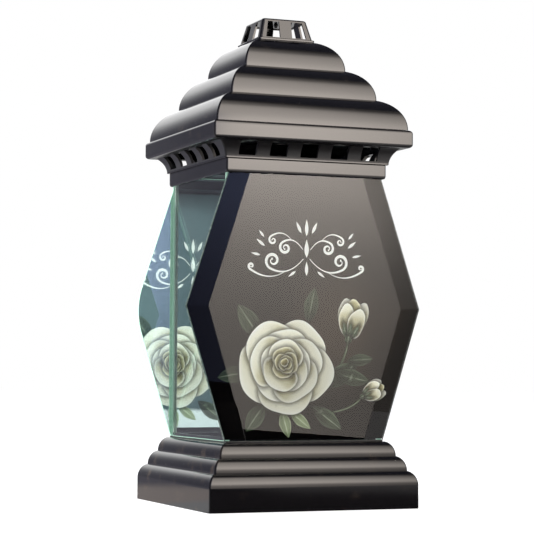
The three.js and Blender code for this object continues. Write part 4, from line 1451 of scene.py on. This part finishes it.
def petal_in(heart, away, bearing, length, width, paint, draw):
    """A petal set away from a flower's heart, seen a little from the side."""
    turn = math.radians(bearing)
    centre = (heart[0] + away * math.cos(turn), heart[1] + PETAL_LEAN * away * math.sin(turn))
    light = MEAN_LIGHT + LIGHT_SWING * math.cos(turn - LIGHT_FROM)
    return Petal(
        centre, bearing + draw.uniform(-TURN_WANDER, TURN_WANDER), length * draw.uniform(*SIZE_WANDER),
        width * draw.uniform(*SIZE_WANDER), paint, light, draw.uniform(*WAVE_RANGE),
    )


def open_rose(heart, size, draw):
    """Whorls of petals from the outside in, and a spiral heart."""
    petals = []
    for count, away, length, width, start in WHORLS:
        for i in range(count):
            bearing = start + 2 * i * 360 / count
            petals.append(petal_in(heart, away * size, bearing, length * size, width * size, CREAM, draw))
    middle = (heart[0], heart[1] + HEART_RISE * size)
    for i in range(HEART_PETALS):
        shrink = HEART_SHRINK ** i
        petals.append(petal_in(
            middle, HEART_AWAY * size * shrink, HEART_START + NEXT_PETAL * i,
            HEART_LENGTH * size * shrink, HEART_WIDTH * size * shrink, HEART_CREAM, draw,
        ))
    return petals


print("petals in a rose:", sum(whorl[0] for whorl in WHORLS) + HEART_PETALS)

# %% Buds, leaves and stems
# Place up and beside, lean in degrees, length, width, paint and tone, for a bud of size 1.
BUD_PETALS = (
    (0.62, 0.2, 9, 0.86, 0.44, CREAM, 0.85), (0.62, -0.2, -9, 0.86, 0.44, CREAM, 0.74),
    (0.66, 0.02, 0, 0.84, 0.46, HEART_CREAM, 1.0), (0.5, 0.15, 10, 0.86, 0.44, CREAM, 1.0),
    (0.46, -0.13, -8, 0.8, 0.46, CREAM, 0.92),
)
SEPALS = ((0.13, 22), (-0.13, -22), (0.0, 2))
SEPAL_UP, SEPAL_LENGTH, SEPAL_WIDTH, SEPAL_TONE = 0.2, 0.5, 0.14, 1.5
HIP_SIZE, HIP_TONE = 0.2, 1.3
STEM_GREEN, STEM_LIGHT, STEM_LIGHT_SHARE = "#3c4634", "#77836a", 0.3


def half_open_bud(foot, bearing, size, draw):
    """Wrapped petals standing up from a green foot, with three sepals."""
    turn = math.radians(bearing)
    upward, sideways = (math.cos(turn), math.sin(turn)), (-math.sin(turn), math.cos(turn))

    def at(up, side):
        return [foot[i] + size * (up * upward[i] + side * sideways[i]) for i in (0, 1)]

    pieces = []
    for up, side, lean, length, width, paint, tone in BUD_PETALS:
        wave = draw.uniform(*WAVE_RANGE)
        pieces.append(Petal(at(up, side), bearing + lean, length * size, width * size, paint, tone, wave))
    for side, lean in SEPALS:
        pieces.append(Leaf(
            at(SEPAL_UP, side), bearing + lean, SEPAL_LENGTH * size, SEPAL_WIDTH * size, GREEN, SEPAL_TONE,
        ))
    pieces.append(Petal(at(0.0, 0.0), bearing, HIP_SIZE * size, HIP_SIZE * size, GREEN, HIP_TONE))
    return pieces


def leaf_from(root, bearing, length, width, tone, paint):
    turn = math.radians(bearing)
    centre = (root[0] + length / 2 * math.cos(turn), root[1] + length / 2 * math.sin(turn))
    return Leaf(centre, bearing, length, width, paint, tone)


def bent(start, middle, end, steps=14):
    """Points on a quadratic curve."""
    return [
        tuple((1 - t) ** 2 * a + 2 * t * (1 - t) * b + t * t * c for a, b, c in zip(start, middle, end))
        for t in [i / steps for i in range(steps + 1)]
    ]


def stem(start, middle, end, thick):
    points, light = bent(start, middle, end), STEM_LIGHT_SHARE * thick
    return [
        Stroke([(x, z, thick) for x, z in points], STEM_GREEN),
        Stroke([(x + light, z, light) for x, z in points], STEM_LIGHT),
    ]


print("pieces in a bud:", len(BUD_PETALS) + len(SEPALS) + 1)

# %% The bouquet
BOUQUET_SEED = 11
HEART = (-15.0, 102.0)
ROSE_SIZE = 37.0
UPPER_BUD, LOWER_BUD = (34.0, 121.0), (45.0, 80.0)
# Root, bearing, length, width and tone.
LEAVES = (
    ((14, 86), 34, 34, 14, 1.0), ((22, 97), -12, 30, 12, 0.8), ((-34, 121), 126, 30, 14, 0.9),
    ((-42, 98), 190, 25, 12, 0.7), ((-31, 75), 234, 24, 13, 1.0), ((2, 132), 78, 27, 11, 0.9),
    ((6, 73), -36, 28, 12, 1.1), ((33, 106), 4, 21, 9, 0.9),
)
PALE_LEAVES = (((-18, 71), -74, 21, 9, 0.9), ((-12, 70), -38, 21, 8, 1.0))
STEMS = ((UPPER_BUD, (31, 98), (8, 80), 0.9), (LOWER_BUD, (36, 68), (8, 68), 0.75))
BUDS = ((UPPER_BUD, 78, 28), (LOWER_BUD, 24, 18))


def bouquet():
    """Everything painted in cream and green, from the back to the front."""
    draw = random.Random(BOUQUET_SEED)
    pieces = [stroke for line in STEMS for stroke in stem(*line)]
    pieces += [leaf_from(*leaf, GREEN) for leaf in LEAVES]
    pieces += [leaf_from(*leaf, PALE_GREEN) for leaf in PALE_LEAVES]
    for bud in BUDS:
        pieces += half_open_bud(*bud, draw)
    return pieces + open_rose(HEART, ROSE_SIZE, draw)


picture = bouquet()
print("pieces in the bouquet:", len(picture))

# %% [markdown]
# The ornament over the rose is what a broad pen leaves: strokes that swell in the middle and end in
# a curl or a drop. It is symmetrical and means nothing. Each curl winds in from where the stroke
# before it ends, in that stroke's direction, so line and curl are one.

# %% The pen's strokes
STEPS_PER_TURN, STROKE_STEPS, DROP_STEPS = 24, 16, 12
CURL_CLOSES, CURL_BEND = 0.82, 0.85
CURL_END = (0.8, 0.9, 0.3)  # half-widths of a curl's last points
DROP_TIP, DROP_SWELL, DROP_TAPER = 0.08, 1.15, 0.6


def curl(start, heading, radius, turns, hand):
    """Winds in from a point to the left of the heading for hand 1, or to its right for -1."""
    toward = math.radians(heading + 90 * hand)
    eye = (start[0] + radius * math.cos(toward), start[1] + radius * math.sin(toward))
    steps = round(STEPS_PER_TURN * turns)
    points = []
    for i in range(1, steps + 1):
        share = i / steps
        angle = toward + math.pi + hand * 2 * math.pi * turns * share
        reach = radius * (1 - CURL_CLOSES * share ** CURL_BEND)
        points.append((eye[0] + reach * math.cos(angle), eye[1] + reach * math.sin(angle)))
    return points


def penned(start, middle, end, thin, thick, radius=0.0, turns=1.4, hand=1):
    """A swelling stroke, with a curl at its end if radius isn't zero."""
    points = bent(start, middle, end, STROKE_STEPS)
    if radius:
        heading = math.degrees(math.atan2(end[1] - middle[1], end[0] - middle[0]))
        points += curl(end, heading, radius, turns, hand)
    last = len(points) - 1
    swells = [thin + (thick - thin) * math.sin(math.pi * i / last) ** 2 for i in range(last + 1)]
    if radius:
        swells[-len(CURL_END):] = [share * thick for share in CURL_END]
    return [(x, z, swell) for (x, z), swell in zip(points, swells)]


def drop(start, bearing, length, width):
    """A teardrop, as left by a full pen."""
    c, s = math.cos(math.radians(bearing)), math.sin(math.radians(bearing))
    return [
        (start[0] + length * t * c, start[1] + length * t * s,
         DROP_TIP + width / 2 * math.sin(math.pi * t) * (DROP_SWELL - DROP_TAPER * t))
        for t in [i / DROP_STEPS for i in range(DROP_STEPS + 1)]
    ]


print("points in a curl of one turn:", len(curl((0, 0), 0, 1, 1, 1)))

# %% The ornament
PEN_WHITE = "#f7f7f5"
ORNAMENT_MIDDLE = 1.0


def ornament():
    """Half of the strokes, their mirror images and the three drops in the middle."""
    half = [
        penned((2.5, 179), (15, 164.5), (29, 172), 0.25, 1.1, radius=6.0),
        penned((17, 169.5), (30, 161.5), (44, 171), 0.2, 0.9, radius=2.4, turns=1.1),
        penned((3, 185.5), (10, 196), (19, 190.5), 0.25, 1.0, radius=4.6, hand=-1),
        penned((12, 192.5), (19, 200.5), (28, 194.5), 0.2, 0.8, radius=3.2, turns=1.2, hand=-1),
        drop((4.2, 197.5), 64, 9, 2.5), drop((32.5, 187.5), 38, 8, 2.3), drop((36, 181), 12, 7, 2.0),
        drop((8.5, 170), -36, 7, 2.0), drop((33, 194), 50, 6, 1.8),
    ]
    other_half = [[(-x, z, thick) for x, z, thick in stroke] for stroke in half]
    middle = [drop((0, 167), 90, 10, 2.8), drop((0, 180), 90, 13, 3.8), drop((0, 195.5), 90, 12, 3.0)]
    return [
        Stroke([(ORNAMENT_MIDDLE + x, z, thick) for x, z, thick in stroke], PEN_WHITE)
        for stroke in half + other_half + middle
    ]


picture += ornament()
print("pieces in the whole picture:", len(picture))

# %% [markdown]
# From the front the film's ground is nearly black, with a faint warm glow. From behind, where the
# mirror sees it, the ground is painted a cool grey in place of the light that comes through the
# print, a little lighter towards the top to make up for the cornice's shade there. At its foot a
# bare strip of clear film is painted pale, in place of the bright table seen through it. So the
# sheet has two faces, each painted from the same outlines.

# %% One flat sheet from all the outlines
GROUND_STEP = 7.0
MERGE_DISTANCE = 0.03
FILM_MARGIN, FILM_INSET = 0.35, 1.0


def ground_points():
    """A plain grid between the outlines, so that the ground can change its shade too."""
    points = []
    for i in range(round(2 * (PANE_HEAD_HALF - GROUND_STEP) / GROUND_STEP)):
        for j in range(round((PANE_HEAD - PANE_FOOT) / GROUND_STEP) - 1):
            x = -PANE_HEAD_HALF + (i + 1.5) * GROUND_STEP
            points.append((x, PANE_FOOT + (j + 1) * GROUND_STEP))
    return points


def picture_triangles(pieces):
    """Triangles over the whole film, each with the piece that lies on top of it, or -1."""
    foot = PANE_FOOT + FILM_INSET
    points, edges = [], []

    def add_outline(outline):
        first, count = len(points), len(outline)
        points.extend(outline)
        edges.extend((first + i, first + (i + 1) % count) for i in range(count))

    add_outline(hexagon(FILM_MARGIN, foot, PANE_HEAD - FILM_INSET))
    for piece in pieces:
        for outline in piece.outlines():
            add_outline(outline)
        points.extend(piece.inner_points() + piece.outer_points())
    points.extend(ground_points())
    places = [Vector((x, max(z, foot))) for x, z in points]
    corners, _, triangles, _, _, _ = delaunay_2d_cdt(places, edges, [], 0, MERGE_DISTANCE, False)
    corners = [tuple(corner) for corner in corners]
    owners = []
    for triangle in triangles:
        middle = [sum(corners[k][axis] for k in triangle) / 3 for axis in (0, 1)]
        owners.append(max((n for n, piece in enumerate(pieces) if piece.holds(middle)), default=-1))
    return corners, list(zip(triangles, owners))


corners, triangles = picture_triangles(picture)
print("points and triangles in the sheet:", len(corners), len(triangles))

# %% Colours of the sheet
GLOW_PLACE, GLOW_RADIUS, GLOW_FLATNESS = (24.0, 128.0), 52.0, 0.8
PALE_PAINTED_STRIP_TOP = 66.0
REAR_PAINTED_LIFT_FROM, REAR_PAINTED_LIFT_TO = 60, 200


def front_ground(point):
    away = math.hypot(point[0] - GLOW_PLACE[0], (point[1] - GLOW_PLACE[1]) * GLOW_FLATNESS)
    return blend(linear("#3a2f26"), linear("#060505"), ease(0.0, 1.0, away / GLOW_RADIUS))[:3]


# The rear's colours are painted light: the foot strip stands in for the table seen through clear film, and
# the grey for light through the print.
def rear_ground_painted_light(point):
    # Painted light: a pale strip in place of the bright table seen through the clear film.
    if point[1] < PALE_PAINTED_STRIP_TOP:
        return linear("#dde3e8")[:3]
    # Painted light: grey in place of the light through the print, lifted towards the top against the
    # cornice's shade.
    share = ease(REAR_PAINTED_LIFT_TO, REAR_PAINTED_LIFT_FROM, point[1])
    return blend(linear("#5b6a70"), linear("#516066"), share)[:3]


def shaded_colour(point, owner, pieces):
    """The colour of a point on a piece, darkened by the pieces that lie over it."""
    light = min([above.shadow(point) for above in pieces[owner + 1:]], default=1.0)
    return [channel * light for channel in pieces[owner].colour(point)]


print("the ground at its brightest:", [round(channel, 3) for channel in front_ground(GLOW_PLACE)])

# %% [markdown]
# The print is cured ink on clear polyester film. Ink isn't polished: it has a satin sheen with a
# slight grain, and the film under it lies a little wavy. Its colours are carried by the mesh, so the
# shader only reads them and adds the grain.

# %% Cured ink
INK_GRAIN_MM, FILM_WAVE_MM, FILM_WAVE_DEPTH_MM = 0.5, 9.0, 0.03


def printed_ink():
    material, add = new_material("cured ink on polyester film")
    place = add("TexCoord").outputs["Object"]
    grain = add("TexNoise", Vector=place, Scale=fineness(INK_GRAIN_MM), Detail=2.0, Roughness=0.5)
    tone = add("MapRange", SMOOTH, Value=grain, **MOTTLE, To_Min=0.92, To_Max=1.05)
    paint = add("VertexColor", {"layer_name": "ink"})
    wave = add("TexNoise", Vector=place, Scale=fineness(FILM_WAVE_MM), Detail=2.0, Roughness=0.5)
    ink = add(
        "BsdfPrincipled", Specular_IOR_Level=0.0,
        Base_Color=add("VectorMath", {"operation": "SCALE"}, _0=paint, Scale=tone),
        Roughness=add("MapRange", SMOOTH, Value=wave, **MOTTLE, To_Min=0.4, To_Max=0.5),
        Normal=add("Bump", Strength=0.4, Distance=FILM_WAVE_DEPTH_MM * MM, Height=wave),
    )
    add("OutputMaterial", Surface=ink)
    return material


INK = printed_ink()
print("nodes in the ink:", len(INK.node_tree.nodes))

# %% The printed film
FILM_GAP = 0.02
FILM_FRONT = -PANE_INNER - FILM_GAP
FILM_REAR = -PANE_INNER + FILM_THICKNESS - FILM_GAP


def make_film():
    mesh = bmesh.new()
    ink = mesh.loops.layers.float_color.new("ink")
    front, rear = [
        [mesh.verts.new(Vector((x, y, z)) * MM) for x, z in corners] for y in (FILM_FRONT, FILM_REAR)
    ]
    shaded, single = {}, {}
    for triangle, owner in triangles:
        for k in triangle:
            if owner >= 0 and (k, owner) not in shaded:
                shaded[k, owner] = shaded_colour(corners[k], owner, picture)
        for pair in zip(triangle, triangle[1:] + triangle[:1]):
            if pair[::-1] in single:
                del single[pair[::-1]]
            else:
                single[pair] = True
        for sheet, order, ground in ((front, triangle, front_ground), (rear, triangle[::-1], rear_ground_painted_light)):
            face = mesh.faces.new([sheet[k] for k in order])
            for loop, k in zip(face.loops, order):
                colour = ground(corners[k]) if owner < 0 else shaded[k, owner]
                loop[ink] = (*colour, 1.0)
    for i, j in single:
        mesh.faces.new((front[j], front[i], rear[i], rear[j]))
    return bare_object("printed_film", mesh)


hand_over(make_film(), INK, "lantern", ["front_print"], smooth=False)

# %% [markdown]
# The panes are glued along their inner corners with silicone, pulled with a finger. So each bead is
# a hollow fillet whose width wanders a little, with small laps where the finger slowed. Cured
# silicone is a milky grey rubber with a soft gloss, and light goes some way into it. Black silicone
# beds the panes' feet and heads, and no light goes into that.

# %% Cured silicone
RUBBER_CLOUD, LAPS = (7.0, 3.0, 0.5), (2.2, 2.0, 0.5)


def cured_silicone(name, tones, depth_share):
    return mottled(
        name, RUBBER_CLOUD, tones, RUBBER_CLOUD, (0.3, 0.45), LAPS, strength=0.7, depth_mm=0.15,
        IOR=1.41, Subsurface_Weight=depth_share, Subsurface_Radius=(0.003, 0.003, 0.0028),
        Subsurface_Scale=1.0,
    )


SILICONE = cured_silicone("cured clear silicone, finger smoothed", ("#b0b6ae", "#c6cbc4"), 0.25)
BLACK_SILICONE = cured_silicone("cured black silicone, squeezed out", ("#1c1d1d", "#2b2d2c"), 0.0)
print("silicones:", SILICONE.name, "and", BLACK_SILICONE.name)

# %% Beads in the corners
BEAD_LEG, BEAD_STEP, BEAD_SKIN, BEAD_ARC = 3.4, 3.0, 0.02, 8
BEAD_WANDER_SHARE, BEAD_FOLLOWS = 0.16, 0.35
BEAD_FOOT = FENCE_TOP + GLUE_GAP
BEAD_PLACES = {
    "front_left": (-PANE_INNER, -PANE_INNER + FILM_THICKNESS),
    "front_right": (PANE_INNER, -PANE_INNER + FILM_THICKNESS),
    "back_right": (PANE_INNER, PANE_INNER),
    "back_left": (-PANE_INNER, PANE_INNER),
}


def make_bead(name, x, y, seed):
    """A hollow fillet in the corner (x, y), from above the fence to the panes' heads."""
    draw = random.Random(seed)
    toward_x, toward_y = (1 if x < 0 else -1), (1 if y < 0 else -1)
    count = round((PANE_HEAD - BEAD_FOOT) / BEAD_STEP)
    rings = []
    leg = BEAD_LEG
    for i in range(count + 1):
        height = BEAD_FOOT + (PANE_HEAD - BEAD_FOOT) * i / count
        leg += BEAD_FOLLOWS * (BEAD_LEG * (1 + draw.uniform(-1, 0) * BEAD_WANDER_SHARE) - leg)
        ring = [(BEAD_SKIN, BEAD_SKIN)]
        for share in [step / BEAD_ARC for step in range(BEAD_ARC + 1)]:
            across = (1 - share) ** 2 + 2 * share * (1 - share) / 3
            up = share ** 2 + 2 * share * (1 - share) / 3
            ring.append((max(leg * across, BEAD_SKIN), max(leg * up, BEAD_SKIN)))
        rings.append([Vector((x + toward_x * a, y + toward_y * b, height)) * MM for a, b in ring])
    return bare_object(name, lofted(rings))


for seed, (corner, (x, y)) in enumerate(BEAD_PLACES.items()):
    bead = make_bead("silicone_" + corner, x, y, seed)
    hand_over(bead, SILICONE, "lantern", ["corner_bead_" + corner])

# %% Bedding at foot and head
BEDDING_BULGE = 0.18


def make_bedding(name, foot):
    """A squeezed ring under or over the glass, slightly full on both sides."""
    middle, radii = foot + BEDDING_THICKNESS / 2, (BEDDING_BULGE, BEDDING_THICKNESS / 2)
    outer = arc((GLASS_BOX_HALF - BEDDING_BULGE, middle), radii, -QUARTER, QUARTER, SMALL_ARC)
    inner = arc((PANE_INNER + BEDDING_BULGE, middle), radii, QUARTER, 3 * QUARTER, SMALL_ARC)
    return bare_object(name, square_swept(outer + inner))


for end, foot in (("foot", DECK_TOP), ("head", PANE_HEAD)):
    bedding = make_bedding("silicone_" + end, foot)
    hand_over(bedding, BLACK_SILICONE, "lantern", [end + "_bedding"])

# %% [markdown]
# The candle insert stands in the well: a thin polypropylene cup, wax poured to just below the rim,
# and a braided cotton wick in a tin foot. Wax shrinks as it sets, so it climbs the cup's wall and
# dishes round the wick. Cup, wax and cotton are pale and cloudy, and light goes into all three.

# %% Cup, wax and wick materials
CHANNEL_DEPTHS = (1.0, 0.8, 0.5)  # red goes deepest


def pale_and_deep(name, tones, mottle_mm, roughness, ior, depth_mm, relief_mm):
    cloud = (mottle_mm, 4.0, 0.6)
    return mottled(
        name, cloud, tones, cloud, (roughness * 0.85, roughness * 1.15), cloud, strength=0.8,
        depth_mm=relief_mm, IOR=ior, Subsurface_Weight=0.5, Subsurface_Scale=1.0,
        Subsurface_Radius=[depth_mm * MM * share for share in CHANNEL_DEPTHS],
    )


POLYPROPYLENE = pale_and_deep(
    "moulded polypropylene", ("#ddd8cb", "#eae6db"), 9.0, 0.32, 1.49, 3.0, 0.02,
)
WAX = pale_and_deep("poured paraffin wax", ("#eadfc4", "#f6eedb"), 6.0, 0.42, 1.44, 6.0, 0.12)
COTTON = pale_and_deep("braided cotton", ("#d8d2c2", "#f2eee2"), 0.8, 0.85, 1.5, 0.5, 0.1)
print("insert materials:", POLYPROPYLENE.name, "and", WAX.name, "and", COTTON.name)

# %% Cup
CUP_RADIUS, CUP_TAPER, CUP_HEIGHT, CUP_WALL = 29.0, 2.0, 36.0, 0.9
CUP_LIP, CUP_LIP_HEIGHT, CUP_RING, CUP_RECESS = 1.4, 1.6, 3.0, 1.0
CUP_SOFT, CUP_FOOT_SOFT, CUP_FLOOR_SOFT = 0.3, 0.6, 1.0
CUP_FOOT = WELL_LIFT + WELL_FLOOR + GLUE_GAP
CUP_FLOOR = CUP_FOOT + CUP_RECESS + CUP_WALL
CUP_RIM = CUP_FOOT + CUP_HEIGHT
CUP_FOOT_RADIUS = CUP_RADIUS - CUP_TAPER


def cup_inside(height):
    return CUP_FOOT_RADIUS + CUP_TAPER * (height - CUP_FOOT) / CUP_HEIGHT - CUP_WALL


def make_cup():
    ring, recess_top, half_lip = CUP_FOOT_RADIUS - CUP_RING, CUP_FOOT + CUP_RECESS, CUP_LIP_HEIGHT / 2
    ring_foot, inner_rim, inner_floor = ring + CUP_RECESS, cup_inside(CUP_RIM), cup_inside(CUP_FLOOR)
    lip = (CUP_RADIUS + CUP_LIP - half_lip, CUP_RIM - half_lip)
    return bare_object("moulded_cup", round_swept(
        [(0, recess_top), (ring, recess_top), (ring_foot, CUP_FOOT + CUP_SOFT)]
        + [(ring_foot + CUP_SOFT, CUP_FOOT), (CUP_FOOT_RADIUS - CUP_FOOT_SOFT, CUP_FOOT)]
        + [(CUP_FOOT_RADIUS, CUP_FOOT + CUP_FOOT_SOFT), (CUP_RADIUS, CUP_RIM - CUP_LIP_HEIGHT)]
        + arc(lip, (half_lip, half_lip), -QUARTER, QUARTER, LIP_ARC)
        + [(inner_rim + CUP_SOFT, CUP_RIM), (inner_rim, CUP_RIM - CUP_SOFT)]
        + [(inner_floor, CUP_FLOOR + CUP_FLOOR_SOFT), (inner_floor - CUP_FLOOR_SOFT, CUP_FLOOR)]
        + [(0, CUP_FLOOR)],
    ))


hand_over(make_cup(), POLYPROPYLENE, "insert", ["insert_cup"])

# %% Wax
WAX_DEPTH, WAX_DISH, WAX_CLIMB, WAX_STEPS, DISH_MEAN, DISH_SWING = 27.0, 0.8, 1.6, 15, 0.75, 0.25
WICK_RADIUS = 1.1
TIN_RADIUS, TIN_THICKNESS, NECK_RADIUS, NECK_HEIGHT = 10.0, 0.5, 2.0, 5.0
WAX_FOOT = CUP_FLOOR + GLUE_GAP
WAX_TOP = WAX_FOOT + WAX_DEPTH


def make_wax():
    """Wax with a climbing edge, a shallow dish and a pocket for the tin foot and its neck."""
    edge = cup_inside(WAX_TOP) - GLUE_GAP
    top = []
    for share in [step / WAX_STEPS for step in range(WAX_STEPS + 1)]:
        radius = edge - (edge - WICK_RADIUS - GLUE_GAP) * share
        climb = math.exp(-(edge - radius) / WAX_CLIMB)
        dish = WAX_DISH * (DISH_MEAN + DISH_SWING * math.cos(math.pi * (1 - share)))
        top.append((radius, WAX_TOP - dish * (1 - climb)))
    bore, neck, pocket = WICK_RADIUS + GLUE_GAP, NECK_RADIUS + GLUE_GAP, TIN_RADIUS + GLUE_GAP
    neck_top = WAX_FOOT + NECK_HEIGHT + GLUE_GAP
    pocket_top = WAX_FOOT + TIN_THICKNESS + GLUE_GAP
    return bare_object("poured_wax", round_swept(
        [(pocket, pocket_top), (pocket, WAX_FOOT), (cup_inside(WAX_FOOT) - GLUE_GAP, WAX_FOOT)]
        + top + [(bore, neck_top), (neck, neck_top), (neck, pocket_top)],
    ))


hand_over(make_wax(), WAX, "insert", ["insert_wax"])

# %% Tin foot
TIN_STEPS, TIN_BREAK, NECK_FILLET, NECK_BREAK = 48, 0.15, 0.5, 0.2


def make_tin_foot():
    plate_top, neck_top = WAX_FOOT + TIN_THICKNESS, WAX_FOOT + NECK_HEIGHT
    bore, rim = WICK_RADIUS + GLUE_GAP, TIN_RADIUS - TIN_BREAK
    return bare_object("tin_foot", round_swept(
        [(0, WAX_FOOT), (rim, WAX_FOOT), (TIN_RADIUS, WAX_FOOT + TIN_BREAK)]
        + [(TIN_RADIUS, plate_top - TIN_BREAK), (rim, plate_top), (NECK_RADIUS + NECK_FILLET, plate_top)]
        + [(NECK_RADIUS, plate_top + NECK_FILLET), (NECK_RADIUS, neck_top - NECK_BREAK)]
        + [(NECK_RADIUS - NECK_BREAK, neck_top), (bore, neck_top), (bore, plate_top), (0, plate_top)],
        TIN_STEPS,
    ))


hand_over(make_tin_foot(), TIN, "insert", ["wick_sustainer"])

# %% Wick
WICK_STAND, PLAIT_PITCH, PLAIT_FLATNESS, STRAND_RADIUS = 6.0, 3.6, 0.6, 0.46
STRAND_COUNT, STRAND_STEPS, STRAND_SIDES = 3, 120, 8


def make_strand(number):
    """One plaited strand: a tube on a flattened figure of eight that climbs."""
    foot, top = WAX_FOOT + TIN_THICKNESS + GLUE_GAP, WAX_TOP - WAX_DISH + WICK_STAND
    sway = WICK_RADIUS - STRAND_RADIUS
    rings = []
    for share in [step / STRAND_STEPS for step in range(STRAND_STEPS + 1)]:
        height = foot + STRAND_RADIUS + (top - foot - 2 * STRAND_RADIUS) * share
        turn = 2 * math.pi * ((height - foot) / PLAIT_PITCH + number / STRAND_COUNT)
        middle = Vector((sway * math.sin(turn), sway * PLAIT_FLATNESS * math.sin(2 * turn), 0)) * MM
        rings.append([middle + place for place in round_ring(STRAND_RADIUS, height, STRAND_SIDES)])
    return lofted(rings)


plait = bare_object("plaited_wick", join_meshes([make_strand(number) for number in range(STRAND_COUNT)]))
hand_over(plait, COTTON, "insert", ["insert_wick"])
